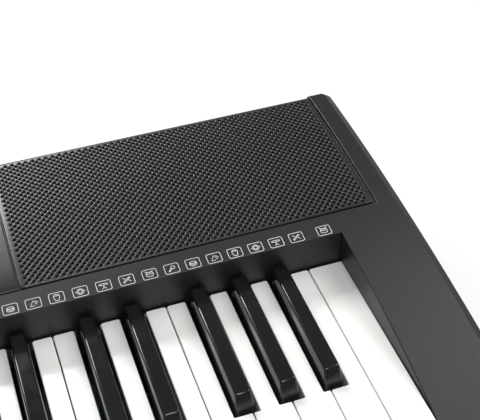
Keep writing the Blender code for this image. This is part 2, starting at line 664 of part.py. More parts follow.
def button_hole(x, y):
    """Cutter for one button, with its running clearance."""
    half_x = BUTTON_WIDTH / 2 + BUTTON_CLEARANCE
    half_y = BUTTON_DEPTH / 2 + BUTTON_CLEARANCE
    z = arch_z(y)
    return block("hole", (x - half_x, y - half_y, z - OUT / 4), (x + half_x, y + half_y, z + OUT / 4))


def control_panel():
    """Raised centre plate with a ramped nose, holes for the controls and posts for the board."""
    low = SEAT - DECK_SINK
    front = DECK_FRONT_Y + GRILLE_GAP
    rear = front + GRILLE_DEPTH
    panel = arched_slab("control_panel", -PANEL_HALF, PANEL_HALF, front, rear, low, PANEL_RISE,
                        PANEL_NOSE_RUN)
    half_w = WINDOW_WIDTH / 2
    half_d = WINDOW_DEPTH / 2
    rebate = PANEL_RISE - WINDOW_THICKNESS - SEAT
    cut(panel, arched_slab("rebate", -half_w - SEAT, half_w + SEAT, WINDOW_Y - half_d - SEAT,
                           WINDOW_Y + half_d + SEAT, rebate, OUT))
    cut(panel, block("sight", (-half_w + WINDOW_LEDGE, WINDOW_Y - half_d + WINDOW_LEDGE, BOARD_TOP_Z),
                     (half_w - WINDOW_LEDGE, WINDOW_Y + half_d - WINDOW_LEDGE, CROWN_HEIGHT + OUT)))
    for _, x, y in button_places():
        cut(panel, button_hole(x, y))
    for x, y in pad_places():
        cut(panel, button_hole(x, y))
    hole = KNOB_SHAFT_RADIUS + KNOB_SHAFT_CLEARANCE
    cut(panel, turned("shaft_hole", [(0, 0), (hole, 0), (hole, OUT / 2), (0, OUT / 2)], 12,
                      (KNOB_PLACE[0], KNOB_PLACE[1], arch_z(KNOB_PLACE[1]) - OUT / 4)))
    half_post = BOARD_POST / 2
    for side in (-1, 1):
        x = side * (BOARD_HALF - BOARD_POST)
        for y in (BOARD_FRONT_Y + BOARD_POST, BOARD_REAR_Y - BOARD_POST):
            join(panel, block("post", (x - half_post, y - half_post, BOARD_TOP_Z + SEAT),
                              (x + half_post, y + half_post, arch_z(y))))
    return finish(panel, CHARCOAL, 0.45)


def display_window():
    """Clear lens let into the panel."""
    window = arched_slab("display_window", -WINDOW_WIDTH / 2, WINDOW_WIDTH / 2, WINDOW_Y - WINDOW_DEPTH / 2,
                         WINDOW_Y + WINDOW_DEPTH / 2, PANEL_RISE - WINDOW_THICKNESS, PANEL_RISE)
    return finish(window, GLASS_BLACK, 0.08)


def display_module():
    """Display block that stands on the main board under the lens."""
    inset = WINDOW_LEDGE + 2 * SEAT
    front = WINDOW_Y - WINDOW_DEPTH / 2 + inset
    top = arch_z(front) + PANEL_RISE - WINDOW_THICKNESS - 2 * SEAT
    module = block("display_module", (-WINDOW_WIDTH / 2 + inset, front, BOARD_TOP_Z + SEAT),
                   (WINDOW_WIDTH / 2 - inset, WINDOW_Y + WINDOW_DEPTH / 2 - inset, top))
    return finish(module, GLASS_BLACK, 0.3)


def main_board():
    """Circuit board that hangs from the panel's posts."""
    board = block("main_board", (-BOARD_HALF, BOARD_FRONT_Y, BOARD_TOP_Z - BOARD_THICKNESS),
                  (BOARD_HALF, BOARD_REAR_Y, BOARD_TOP_Z))
    return finish(board, BOARD_GREEN, 0.5)


def button_body(name, x, y):
    """Cap, retaining flange under the panel and stem down to its switch, as one moulding."""
    half_x = BUTTON_WIDTH / 2
    half_y = BUTTON_DEPTH / 2
    wide_x = half_x + BUTTON_FLANGE
    wide_y = half_y + BUTTON_FLANGE
    top = arch_z(y) + PANEL_RISE + BUTTON_PROUD
    under = min(arch_z(y - wide_y), arch_z(y + wide_y)) - DECK_SINK
    cap = block(name, (x - half_x, y - half_y, under - BUTTON_FLANGE), (x + half_x, y + half_y, top))
    join(cap, block("flange", (x - wide_x, y - wide_y, under - 2 * BUTTON_FLANGE),
                    (x + wide_x, y + wide_y, under)))
    stem_bottom = BOARD_TOP_Z + SEAT + BUTTON_TRAVEL
    join(cap, block("stem", (x - BUTTON_STEM / 2, y - BUTTON_STEM / 2, stem_bottom),
                    (x + BUTTON_STEM / 2, y + BUTTON_STEM / 2, under - BUTTON_FLANGE)))
    return cap


def buttons():
    """Single push buttons, each free to travel."""
    for name, x, y in button_places():
        cap = finish(button_body(name, x, y), SILICONE_GREY, 0.5)
        put_origin(cap, x, y, arch_z(y))


def number_pad():
    """Silicone mat with twelve keys on one web under the panel."""
    places = pad_places()
    xs = [x for x, _ in places]
    ys = [y for _, y in places]
    half_x = BUTTON_WIDTH / 2
    half_y = BUTTON_DEPTH / 2
    web_top = min(arch_z(min(ys) - half_y - BUTTON_FLANGE), arch_z(max(ys) + half_y)) - DECK_SINK
    web = block("number_pad", (min(xs) - half_x - BUTTON_FLANGE, min(ys) - half_y - BUTTON_FLANGE,
                               web_top - BUTTON_FLANGE),
                (max(xs) + half_x + BUTTON_FLANGE, max(ys) + half_y + BUTTON_FLANGE, web_top))
    for x, y in places:
        join(web, block("cap", (x - half_x, y - half_y, web_top - BUTTON_FLANGE / 2),
                        (x + half_x, y + half_y, arch_z(y) + PANEL_RISE + BUTTON_PROUD)))
    half_stem = BUTTON_STEM / 2
    foot_bottom = BOARD_TOP_Z + SEAT + BUTTON_TRAVEL
    for x in (min(xs), max(xs)):
        for y in (min(ys), max(ys)):
            join(web, block("foot", (x - half_stem, y - half_stem, foot_bottom),
                            (x + half_stem, y + half_stem, web_top - BUTTON_FLANGE / 2)))
    finish(web, SILICONE_GREY, 0.7)
    return put_origin(web, PAD_CENTRE[0], PAD_CENTRE[1], web_top)


def volume_knob():
    """Turned knob with a dished top and a pointer groove, on its own shaft."""
    x, y = KNOB_PLACE
    base = arch_z(y) + PANEL_RISE + KNOB_LIFT
    drop = base - BOARD_TOP_Z - SEAT
    dish = KNOB_HEIGHT - KNOB_DISH_DEPTH
    profile = [(0, dish), (KNOB_RADIUS - KNOB_DISH_INSET, dish), (KNOB_RADIUS - KNOB_RIM_INSET, KNOB_HEIGHT),
               (KNOB_RADIUS - KNOB_TAPER, KNOB_HEIGHT), (KNOB_RADIUS, 0), (KNOB_SHAFT_RADIUS, 0),
               (KNOB_SHAFT_RADIUS, -drop), (0, -drop)]
    knob = turned("volume_knob", profile, 16, (x, y, base))
    cut(knob, block("pointer", (x - POINTER_WIDTH / 2, y + KNOB_SHAFT_RADIUS,
                                base + KNOB_HEIGHT - POINTER_DEPTH),
                    (x + POINTER_WIDTH / 2, y + KNOB_RADIUS + ROOT, base + KNOB_HEIGHT + ROOT)))
    finish(knob, CHARCOAL, 0.4, round_piece=True)
    return put_origin(knob, x, y, base)


# Sockets at the rear

def socket(name, x, size, bore_radius, depth, pin_radius=0.0):
    """Moulded socket body with its bore open to the rear, and an optional centre pin."""
    rear = REAR_Y - CASE_WALL - SEAT
    half = size[0] / 2
    low = SOCKET_HEIGHT - HEADPHONE_BODY[2] / 2
    body = block(name, (x - half, rear - size[1], low), (x + half, rear, low + size[2]))
    cut(body, bore("bore", x, rear - depth, rear + OUT, bore_radius))
    if pin_radius:
        join(body, bore("pin", x, rear - depth - ROOT, rear - ROOT, pin_radius))
    return finish(body, RUBBER_BLACK, 0.4)


def sockets():
    """Headphone and power sockets on their own small board."""
    socket("headphone_jack", HEADPHONE_X, HEADPHONE_BODY, HEADPHONE_BORE_RADIUS, HEADPHONE_BORE_DEPTH)
    socket("power_jack", POWER_X, POWER_BODY, POWER_BORE_RADIUS, POWER_BORE_DEPTH, POWER_PIN_RADIUS)
    middle = (HEADPHONE_X + POWER_X) / 2
    rear = REAR_Y - CASE_WALL - SEAT
    top = SOCKET_HEIGHT - HEADPHONE_BODY[2] / 2 - SEAT
    width, depth, thickness = SOCKET_BOARD
    board = block("jack_board", (middle - width / 2, rear - depth, top - thickness),
                  (middle + width / 2, rear, top))
    finish(board, BOARD_GREEN, 0.5)


# Key frame and what lies on it

def key_frame():
    """Pressed frame: flat bed with windows, rear web and the rounded rail that the keys rock on."""
    bed_top = FRAME_TOP_Z
    bed_low = bed_top - FRAME_THICKNESS
    front = KEY_FRONT_Y + FRAME_FRONT_INSET
    rear = HINGE_Y + FRAME_PAST_HINGE
    web = RAIL_WEB / 2
    neck = math.sqrt(RAIL_RADIUS ** 2 - web ** 2)
    profile = [(front, bed_low), (rear, bed_low), (rear, bed_top), (HINGE_Y + web, bed_top),
               (HINGE_Y + web, HINGE_Z - neck)]
    for index in range(-1, 8):
        angle = math.pi * index / 6
        profile.append((HINGE_Y + RAIL_RADIUS * math.cos(angle), HINGE_Z + RAIL_RADIUS * math.sin(angle)))
    profile += [(HINGE_Y - web, HINGE_Z - neck), (HINGE_Y - web, bed_top), (front, bed_top)]
    frame = prism_x("key_frame", profile, -KEYBED_HALF, KEYBED_HALF)
    octave = WHITES_PER_OCTAVE * WHITE_PITCH
    for index in range(OCTAVES):
        x = -KEYBED_HALF + octave * (index + 0.5)
        half = octave / 2 - FRAME_WINDOW_INSET
        window_rear = HINGE_Y - FRAME_WINDOW_TO_HINGE
        cut(frame, block("window", (x - half, window_rear - FRAME_WINDOW, bed_low - ROOT),
                         (x + half, window_rear, bed_top + ROOT)))
    return finish(frame, STEEL_GREY, 0.45, 0.8)


def key_cushions():
    """Felt under the key fronts, and the contact board with its silicone ridge."""
    low = FRAME_TOP_Z + SEAT
    half = KEYBED_HALF - FELT_END_INSET
    for name, front in (("white_key_felt", KEY_FRONT_Y + WHITE_FELT_INSET),
                        ("black_key_felt", BLACK_FRONT_Y - BLACK_FELT_LEAD)):
        felt = block(name, (-half, front, low), (half, front + FELT_WIDTH, low + FELT_THICKNESS))
        finish(felt, FELT_RED, 0.95)
    front = BLACK_FRONT_Y + FELT_WIDTH
    board = block("contact_board", (-half, front, low),
                  (half, front + CONTACT_BOARD_WIDTH, low + CONTACT_BOARD_THICKNESS))
    finish(board, BOARD_GREEN, 0.5)
    base = low + CONTACT_BOARD_THICKNESS + SEAT
    sole = base + CONTACT_RIDGE_BASE
    middle = front + CONTACT_BOARD_WIDTH / 2
    foot, shoulder, crest = CONTACT_RIDGE_WIDTH, CONTACT_RIDGE_WIDTH / 2, CONTACT_RIDGE_WIDTH / 3
    black_dip_here = BLACK_DIP * (HINGE_Y - middle + crest) / (HINGE_Y - BLACK_FRONT_Y)
    top = WHITE_TOP_HEIGHT - BLACK_SKIRT - black_dip_here - SEAT
    ridge = [(middle - foot, base), (middle + foot, base), (middle + foot, sole), (middle + shoulder, sole),
             (middle + crest, top), (middle - crest, top), (middle - shoulder, sole), (middle - foot, sole)]
    finish(prism_x("contact_strip", ridge, -half, half), SILICONE_GREY, 0.8)


# Keys

SEMITONES = ("c", "c_sharp", "d", "d_sharp", "e", "f", "f_sharp", "g", "g_sharp", "a", "a_sharp", "b")
WHITE_INDEX = {"c": 0, "d": 1, "e": 2, "f": 3, "g": 4, "a": 5, "b": 6}
COMBS = (("c_e_g_b", ("c", "e", "g", "b")), ("d_f_a", ("d", "f", "a")),
         ("black", ("c_sharp", "d_sharp", "f_sharp", "g_sharp", "a_sharp")))


def tail_span(note):
    """Left and right edge of a note's slot at the wall, from the octave's left edge.

    The three whites C to E share their width evenly among five tails, F to B among seven.
    """
    place = SEMITONES.index(note)
    if place < 5:
        width = 3 * WHITE_PITCH / 5
        return place * width, (place + 1) * width
    width = 4 * WHITE_PITCH / 7
    start = 3 * WHITE_PITCH
    return start + (place - 5) * width, start + (place - 4) * width


def saddle():
    """Points of the channel that sits over the rail, half an octagon, rear side first."""
    radius = RAIL_RADIUS + RAIL_CLEARANCE
    points = [(HINGE_Y + radius, TAIL_BOTTOM_Z)]
    bevel = radius * math.tan(math.pi / 8)
    points += [(HINGE_Y + radius, HINGE_Z + bevel), (HINGE_Y + bevel, HINGE_Z + radius),
               (HINGE_Y - bevel, HINGE_Z + radius), (HINGE_Y - radius, HINGE_Z + bevel),
               (HINGE_Y - radius, TAIL_BOTTOM_Z)]
    return points


def tail_points(skirt_z):
    """Side outline of the tail, from the top rear of the key round to its underside."""
    end = [(KEY_REAR_Y, TAIL_TOP_Z), (TAIL_END_Y, TAIL_TOP_Z), (TAIL_END_Y, TAIL_BOTTOM_Z)]
    ramp = [(KEY_REAR_Y - SKIRT_RAMP_REAR, TAIL_BOTTOM_Z), (KEY_REAR_Y - SKIRT_RAMP_FRONT, skirt_z)]
    return end + saddle() + ramp


def white_key(note, left, last=False):
    """White key: lipped front, skirts, narrow tail between the blacks, hollow over a cross rib."""
    gap = KEY_GAP / 2
    slot = WHITE_INDEX[note] * WHITE_PITCH
    head = (left + slot + gap, left + slot + WHITE_PITCH - gap)
    span = (slot, slot + WHITE_PITCH) if last else tail_span(note)
    beside = [TAIL_GAP / 2 if abs(there - here) > KEY_GAP else gap
              for there, here in zip(span, (slot, slot + WHITE_PITCH))]
    tail = (left + span[0] + beside[0], left + span[1] - beside[1])
    top = WHITE_TOP_HEIGHT
    skirt = top - WHITE_SKIRT
    profile = [(KEY_FRONT_Y + WHITE_LIP, skirt), (KEY_FRONT_Y + WHITE_LIP, top - WHITE_LIP_DEPTH),
               (KEY_FRONT_Y, top - WHITE_LIP_DEPTH + WHITE_LIP_BEVEL), (KEY_FRONT_Y, top - WHITE_EDGE_ROUND),
               (KEY_FRONT_Y + WHITE_EDGE_ROUND, top), (KEY_REAR_Y, top)] + tail_points(skirt)
    key = prism_x("key", profile, head[0], head[1])
    waist = BLACK_FRONT_Y - BLACK_FRONT_CLEARANCE
    for edge, inner, outward in ((head[0], tail[0], -1), (head[1], tail[1], 1)):
        if abs(inner - edge) > KEY_GAP:
            xs = sorted((inner, edge + outward * OUT))
            cut(key, block("notch", (xs[0], waist, -OUT), (xs[1], TAIL_END_Y + OUT, 3 * OUT)))
    left_in, right_in = head[0] + KEY_WALL, head[1] - KEY_WALL
    tail_left, tail_right = tail[0] + KEY_WALL, tail[1] - KEY_WALL
    front_in = KEY_FRONT_Y + WHITE_LIP + KEY_WALL
    waist_in = waist - KEY_WALL
    rear_in = KEY_REAR_Y - SKIRT_RUN_OUT
    under = [(left_in, front_in), (right_in, front_in), (right_in, waist_in), (tail_right, waist_in),
             (tail_right, rear_in), (tail_left, rear_in), (tail_left, waist_in), (left_in, waist_in)]
    outline = [point for index, point in enumerate(under)
               if math.dist(point, under[index - 1]) > KEY_GAP]
    cut(key, prism_z("under", outline, -OUT, top - KEY_TOP_THICKNESS))
    join(key, block("rib", (tail[0] + KEY_WALL / 2, waist - KEY_RIB, skirt + ROOT),
                    (tail[1] - KEY_WALL / 2, waist, top - ROOT)))
    return key, tail


def black_key(note, left):
    """Black key: sloping nose, sides that lean in above the whites, drafted skirts, hollow.

    The front leans back as far as the key's rocking carries its upper edge forward.
    """
    span = tail_span(note)
    middle = left + (span[0] + span[1]) / 2
    half = BLACK_WIDTH / 2
    ledge = WHITE_TOP_HEIGHT
    top = ledge + BLACK_RISE
    skirt = ledge - BLACK_SKIRT
    nose = BLACK_FRONT_Y + BLACK_NOSE_RUN
    rear = KEY_REAR_Y - BLACK_REAR_CLEARANCE
    run, drop = BLACK_NOSE_BEVEL
    profile = [(BLACK_FRONT_Y, skirt), (BLACK_FRONT_Y + BLACK_FRONT_LEAN, ledge),
               (nose - run, top - drop), (nose, top),
               (rear, top), (rear, TAIL_TOP_Z)] + tail_points(skirt)[1:]
    key = prism_x("key", profile, middle - half, middle + half)
    bm = bmesh.new()
    bm.from_mesh(key.data)
    everything = bm.verts[:] + bm.edges[:] + bm.faces[:]
    bmesh.ops.bisect_plane(bm, geom=everything, plane_co=(0, 0, ledge), plane_no=(0, 0, 1))
    lean = BLACK_TOP_WIDTH / BLACK_WIDTH
    for vert in bm.verts:
        if vert.co.z > ledge:
            share = (vert.co.z - ledge) / BLACK_RISE
            vert.co.x = middle + (vert.co.x - middle) * (1 + (lean - 1) * share)
        elif vert.co.y < KEY_REAR_Y - ROOT:
            share = (ledge - vert.co.z) / BLACK_SKIRT
            vert.co.x = middle + (vert.co.x - middle) * (1 - BLACK_SKIRT_DRAFT / half * share)
    bm.to_mesh(key.data)
    bm.free()
    front_in = BLACK_FRONT_Y + BLACK_FRONT_LEAN + KEY_WALL
    cut(key, block("under", (middle - half + KEY_WALL, front_in, -OUT),
                   (middle + half - KEY_WALL, KEY_REAR_Y - SKIRT_RUN_OUT, ledge - KEY_WALL)))
    return key, (middle - half, middle + half)


def make_key(note, left, last=False):
    """One key of either colour and the edges of its tail."""
    if note in WHITE_INDEX:
        return white_key(note, left, last)
    return black_key(note, left)


def key_finish(key, note):
    """White or black gloss, with the origin on the rail's axis."""
    if note in WHITE_INDEX:
        finish(key, IVORY_WHITE, 0.18)
    else:
        finish(key, KEY_BLACK, 0.28)
    return put_origin(key, key.data.vertices[0].co.x, HINGE_Y, HINGE_Z)


def single_key(note, octave, last=False):
    """A key that rocks on the rail by itself."""
    left = -KEYBED_HALF + (octave - 1) * WHITES_PER_OCTAVE * WHITE_PITCH
    key, _ = make_key(note, left, last)
    key.name = "key_" + note + "_" + str(octave)
    key.data.name = key.name
    return key_finish(key, note)


def key_comb(label, notes, layer, octave):
    """Keys of one octave moulded on one bar. The three bars of an octave lie over each other."""
    left = -KEYBED_HALF + (octave - 1) * WHITES_PER_OCTAVE * WHITE_PITCH
    bar_top = TAIL_TOP_Z - layer * (COMB_BAR_THICKNESS + COMB_BAR_SPACING)
    bar_low = bar_top - COMB_BAR_THICKNESS
    bar_front = TAIL_END_Y + COMB_NECK
    bar_rear = bar_front + COMB_BAR_DEPTH
    overlap = COMB_BAR_THICKNESS / 2
    comb = None
    edges = []
    for note in notes:
        key, tail = make_key(note, left)
        edges += tail
        neck = block("neck", (tail[0], TAIL_END_Y - overlap, bar_low),
                     (tail[1], bar_front + overlap, bar_top))
        join(key, neck)
        comb = key if comb is None else join(comb, key)
    join(comb, block("bar", (min(edges), bar_front, bar_low), (max(edges), bar_rear, bar_top)))
    comb.name = "keys_" + str(octave) + "_" + label
    comb.data.name = comb.name
    return key_finish(comb, notes[0])


def keys():
    """Combs for the lower octaves, single keys for the upper ones, and the last C."""
    for octave in range(1, OCTAVES - SINGLE_OCTAVES + 1):
        for layer, (label, notes) in enumerate(COMBS):
            key_comb(label, notes, layer, octave)
    for octave in range(OCTAVES - SINGLE_OCTAVES + 1, OCTAVES + 1):
        for note in SEMITONES:
            single_key(note, octave)
    single_key("c", OCTAVES + 1, last=True)


upper_case()
lower_case()
battery_door()
feet()
speaker_grille("speaker_grille_left", -1)
speaker_grille("speaker_grille_right", 1)
loudspeaker("speaker_left", -1)
loudspeaker("speaker_right", 1)
control_panel()
display_window()
display_module()
main_board()
buttons()
number_pad()
volume_knob()
sockets()
key_frame()
key_cushions()
keys()
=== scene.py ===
"""Portable keyboard: the visual pieces over the shared frame, with camera, light and floor.

Metres. +X runs to the player's right, +Y to the rear, +Z up.
"""
import math
import bmesh
import bpy
import numpy as np
from mathutils import Matrix, Vector


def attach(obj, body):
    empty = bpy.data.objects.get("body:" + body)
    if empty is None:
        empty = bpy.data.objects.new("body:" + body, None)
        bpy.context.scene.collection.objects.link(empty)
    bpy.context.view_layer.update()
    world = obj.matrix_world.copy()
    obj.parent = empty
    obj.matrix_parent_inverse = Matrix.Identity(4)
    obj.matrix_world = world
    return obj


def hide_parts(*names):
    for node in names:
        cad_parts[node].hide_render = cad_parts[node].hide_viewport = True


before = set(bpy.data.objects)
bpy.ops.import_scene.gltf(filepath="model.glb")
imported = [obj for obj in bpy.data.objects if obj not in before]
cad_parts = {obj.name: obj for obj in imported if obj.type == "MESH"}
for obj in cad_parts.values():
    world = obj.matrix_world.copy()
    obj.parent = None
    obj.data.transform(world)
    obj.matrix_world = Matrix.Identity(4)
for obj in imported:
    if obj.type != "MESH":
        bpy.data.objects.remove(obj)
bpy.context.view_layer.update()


# Camera: the photo's own viewing angle, a close view down onto the right end.

camera_data = bpy.data.cameras.new("camera")
camera_data.sensor_width = 36.0
camera_data.lens = 77.5076
camera = bpy.data.objects.new("camera", camera_data)
bpy.context.scene.collection.objects.link(camera)
bpy.context.scene.camera = camera

camera_azimuth = 0.3392926729364068
camera_elevation = 0.7473585451679832
camera_roll = -0.0010455570720446783
camera_place = Vector((0.207206, -0.405995, 0.533491))
camera_forward = Vector((math.sin(camera_azimuth) * math.cos(camera_elevation),
                         math.cos(camera_azimuth) * math.cos(camera_elevation),
                         -math.sin(camera_elevation)))
level_right = camera_forward.cross(Vector((0.0, 0.0, 1.0))).normalized()
level_up = level_right.cross(camera_forward)
camera_right = math.cos(camera_roll) * level_right + math.sin(camera_roll) * level_up
camera_up = -math.sin(camera_roll) * level_right + math.cos(camera_roll) * level_up
camera_turn = Matrix((camera_right, camera_up, -camera_forward)).transposed().to_4x4()
camera.matrix_world = Matrix.Translation(camera_place) @ camera_turn


# Upper case: one injection-moulded shell of charcoal ABS, screwed to the tray from below. End
# blocks, key recess, marking strip and sunk deck are one piece with small rounded edges.

front_y, rear_y = -0.1450, 0.1450
crown_z, crest_y, arch_radius, bow_radius = 0.0905, 0.1085, 0.850, 3.76
wall_y, deck_front_y, deck_rear_y = 0.0103, 0.0265, 0.1406
recess_half, deck_half, deck_sink, rear_sink = 0.4238, 0.4528, 0.0021, 0.0015
parting_z, recess_wall_low = 0.0303, 0.0570
nose_round, rear_round = 0.0060, rear_y - deck_rear_y
shoulder_run, shoulder_drop = 0.0055, 0.0035
cheek_base = 0.0006
speaker_x, deck_middle_y, speaker_opening, speaker_cell = 0.3371, 0.08355, 0.0385, 0.0420
panel_opening = (0.2100, 0.0385, 0.1286)
socket_z, socket_cell, headphone_x, power_x = 0.0440, 0.0060, 0.3300, 0.3600
rear_half, bow_y, corner_y, corner_run, corner_length = 0.4693, 0.1105, 0.1394, 0.0040, 0.0056
slack = 1e-6


def arch(y):
    """Height of the case's top at depth y: a shallow arc, highest near the rear."""
    return crown_z - arch_radius + np.sqrt(arch_radius ** 2 - (y - crest_y) ** 2)


def side(y):
    """Half width at depth y: an arc that bows out to the front, with a round rear corner."""
    bow = bow_radius - np.sqrt(bow_radius ** 2 - (y - bow_y) ** 2)
    into = np.clip((y - corner_y) / corner_length, 0.0, 1.0)
    return rear_half + bow - corner_run * (1 - np.sqrt(1 - into ** 2))


def linear(code):
    """Linear-light colour of an sRGB hex code, by the standard transfer curve."""
    values = np.array([int(code[start:start + 2], 16) for start in (1, 3, 5)]) / 255
    curved = np.where(values <= 0.04045, values / 12.92, ((values + 0.055) / 1.055) ** 2.4)
    return (*curved.tolist(), 1.0)


def add(material, kind, inputs, **settings):
    """Add one shader node. Settings go on the node, inputs to its sockets as values or links."""
    node = material.node_tree.nodes.new("ShaderNode" + kind)
    for name, value in settings.items():
        setattr(node, name, value)
    for name, value in inputs.items():
        if isinstance(value, bpy.types.NodeSocket):
            material.node_tree.links.new(value, node.inputs[name])
        else:
            node.inputs[name].default_value = value
    return node


def principled(name, **sockets):
    """New material and its main shader, with the named inputs set."""
    material = bpy.data.materials.new(name)
    material.use_nodes = True
    shader = material.node_tree.nodes["Principled BSDF"]
    for socket, value in sockets.items():
        shader.inputs[socket.replace("_", " ")].default_value = value
    return material, shader


def mixed(material, share, *colours):
    """Mix two hex colours by a node's first output; gives the output with the colour."""
    return add(material, "Mix", {0: share.outputs[0], 6: linear(colours[0]),
                                 7: linear(colours[1])}, data_type="RGBA").outputs[2]


def moulded(name, colour, drift, grain, relief, gloss, **sockets):
    """Moulded plastic: the mould's grain as bump and uneven gloss, over two slowly mixed colours.

    grain is the size of one grain and relief its height, in metres; gloss is the range of
    roughness from the grain's tops to its pits.
    """
    material, shader = principled(name, **sockets)
    place = add(material, "TexCoord", {}).outputs["Object"]
    fine, slow = (add(material, "TexNoise", {"Vector": place, "Scale": scale,
                                             "Detail": detail}).outputs["Fac"]
                  for scale, detail in ((1 / grain, 3.0), (1 / 0.040, 2.0)))
    share = add(material, "MapRange", {"Value": slow, "From Min": 0.35, "From Max": 0.65})
    tint = mixed(material, share, colour, drift)
    rough = add(material, "MapRange", {"Value": fine, "From Min": 0.3, "From Max": 0.7,
                                       "To Min": gloss[0], "To Max": gloss[1]})
    bump = add(material, "Bump", {"Height": fine, "Distance": relief, "Strength": 1.0})
    for output, socket in ((tint, "Base Color"), (rough.outputs[0], "Roughness"),
                           (bump.outputs[0], "Normal")):
        material.node_tree.links.new(output, shader.inputs[socket])
    return material


def grid(points, keep=None, closed=False):
    """Quads between neighbours of a row-by-column array of points; keep chooses the quads."""
    rows, columns = points.shape[:2]
    index = np.arange(rows * columns).reshape(rows, columns)
    if closed:
        index = np.concatenate([index, index[:, :1]], axis=1)
    quads = np.stack([index[:-1, :-1], index[:-1, 1:], index[1:, 1:], index[1:, :-1]], axis=-1)
    return points.reshape(-1, 3), (quads if keep is None else quads[keep]).reshape(-1, 4)


def solid(name, patches, material, body, stands_for=(), wall=0.0, facing=1, rounding=0.0,
          crease=30):
    """Weld patches of points and faces into one mesh, turn it outwards, and finish it as a piece.

    wall gives an open sheet its thickness, on the side away from its face; facing is 1 where
    most of that face looks up and -1 where it looks down. rounding is the radius of the edges,
    and crease the angle in degrees past which an edge is one.
    """
    points, faces, count = [], [], 0
    for vertices, polygons in patches:
        points.append(vertices)
        faces += (np.asarray(polygons) + count).tolist()
        count += len(vertices)
    mesh = bpy.data.meshes.new(name)
    mesh.from_pydata(np.concatenate(points), [], faces)
    welded = bmesh.new()
    welded.from_mesh(mesh)
    bmesh.ops.remove_doubles(welded, verts=welded.verts, dist=0.000002)
    bmesh.ops.recalc_face_normals(welded, faces=welded.faces)
    if wall and facing * sum(face.normal.z * face.calc_area() for face in welded.faces) < 0:
        bmesh.ops.reverse_faces(welded, faces=welded.faces)
    welded.to_mesh(mesh)
    welded.free()
    mesh.materials.append(material)
    mesh.shade_smooth()
    mesh.set_sharp_from_angle(angle=math.radians(crease))
    piece = bpy.data.objects.new(name, mesh)
    bpy.context.scene.collection.objects.link(piece)
    if wall:
        thick = piece.modifiers.new("wall", "SOLIDIFY")
        thick.thickness, thick.offset, thick.use_even_offset = wall, -1.0, True
    if rounding:
        edge = piece.modifiers.new("edge", "BEVEL")
        edge.width, edge.segments, edge.use_clamp_overlap = rounding, 2, False
        edge.limit_method, edge.angle_limit = "ANGLE", math.radians(crease)
    if wall or rounding:
        piece.modifiers.new("shading", "WEIGHTED_NORMAL").keep_sharp = True
    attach(piece, body)
    if stands_for:
        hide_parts(*stands_for)


def tube(*loops):
    """Quads round a row of closed loops of points."""
    return grid(np.stack(loops), closed=True)


def cap(loop):
    """One flat face on a closed loop of points."""
    return loop, np.arange(len(loop))[None]


def hole_lines(holes, axis, *further):
    """Grid lines along x or y on both sides of every hole, and at the further places."""
    beside = [hole[axis] + turn * (hole[axis + 2] + hole[5]) for hole in holes for turn in (-1, 1)]
    return np.unique(np.round([*beside, *further], 6))


def border(block):
    """Loop round a row-by-column array of points, without repeating the corners."""
    return np.concatenate([block[0, :-1], block[:-1, -1], block[-1, :0:-1], block[:0:-1, 0]])


def pierced(block, centre, radius, plane):
    """Ring of quads from the rim of a rectangular block of points to a circle inside it.

    Each rim point goes straight to the circle's point in the same direction; plane holds the
    two axes of the circle, and the third coordinate follows the rim's own interpolation.
    """
    rim = border(block)
    spoke = rim[:, plane] - centre
    spoke /= np.linalg.norm(spoke, axis=1, keepdims=True)
    circle = rim.copy()
    circle[:, plane] = centre + radius * spoke
    return rim, circle


# Grained ABS, charcoal with a slight blue drift. The real grain is 0.2 mm, drawn at 0.8 mm so
# that it shows. It breaks the light up, so the case reads satin with faint sparkle.
case_abs = moulded("moulded_abs_charcoal", "#141416", "#111113", 0.0008, 0.000035, (0.36, 0.50))

nose_turn = np.radians([0, 26, 48, 69, 90])
rear_turn = np.radians([18, 36, 54, 72, 90])
speaker_steps = np.linspace(-speaker_cell, speaker_cell, 9)
rows = np.unique(np.round(np.concatenate([
    np.linspace(front_y + nose_round, wall_y, 14), [deck_front_y, deck_rear_y, 0.0184],
    panel_opening[1:], deck_middle_y + speaker_steps, [0.0325, 0.1340]]), 6))
y_rows = np.concatenate([front_y + nose_round * (1 - np.cos(nose_turn[:-1])), rows,
                         deck_rear_y + rear_round * np.sin(rear_turn)])
drop = np.concatenate([nose_round * (1 - np.sin(nose_turn[:-1])), 0 * rows,
                       rear_round * (1 - np.cos(rear_turn))])
socket_steps = socket_cell * np.array([-1.0, -0.5, 0.0, 0.5, 1.0])
x_half = [recess_half, deck_half - 0.0012, deck_half, panel_opening[0],
          *(speaker_x + speaker_steps)]
x_lines = np.unique(np.round([*x_half, *(-x for x in x_half), *(headphone_x + socket_steps),
                              *(power_x + socket_steps)], 6))
top_z = arch(y_rows) - drop
edge_x = side(y_rows)
outer = [(-edge_x, top_z - shoulder_drop), (-edge_x + shoulder_run, top_z)]
across = ([x for x, _ in outer] + [np.full_like(y_rows, x) for x in x_lines]
          + [-x for x, _ in outer[::-1]])
heights = [z for _, z in outer] + [top_z] * len(x_lines) + [z for _, z in outer[::-1]]
top = np.stack([np.stack(across, 1), np.repeat(y_rows[:, None], len(across), 1),
                np.stack(heights, 1)], 2)
recess_columns = [int(np.argmin(np.abs(top[0, :, 0] + hand * recess_half))) for hand in (1, -1)]
rim_lean = np.interp(y_rows, [-0.1050, wall_y], [0.0006, 0.0024])
for column, hand in zip(recess_columns, (1, -1)):
    top[:, column, 0] += hand * rim_lean
behind_deck = ((y_rows > deck_rear_y - slack)[:, None]
               & (np.abs(top[0, :, 0]) < deck_half - 0.0001)[None, :])
top[:, :, 2] -= rear_sink * behind_deck
mid_x = (top[0, 1:, 0] + top[0, :-1, 0]) / 2
mid_y = (y_rows[1:] + y_rows[:-1]) / 2
in_recess = (np.abs(mid_x) < recess_half)[None, :] & (mid_y < wall_y)[:, None]
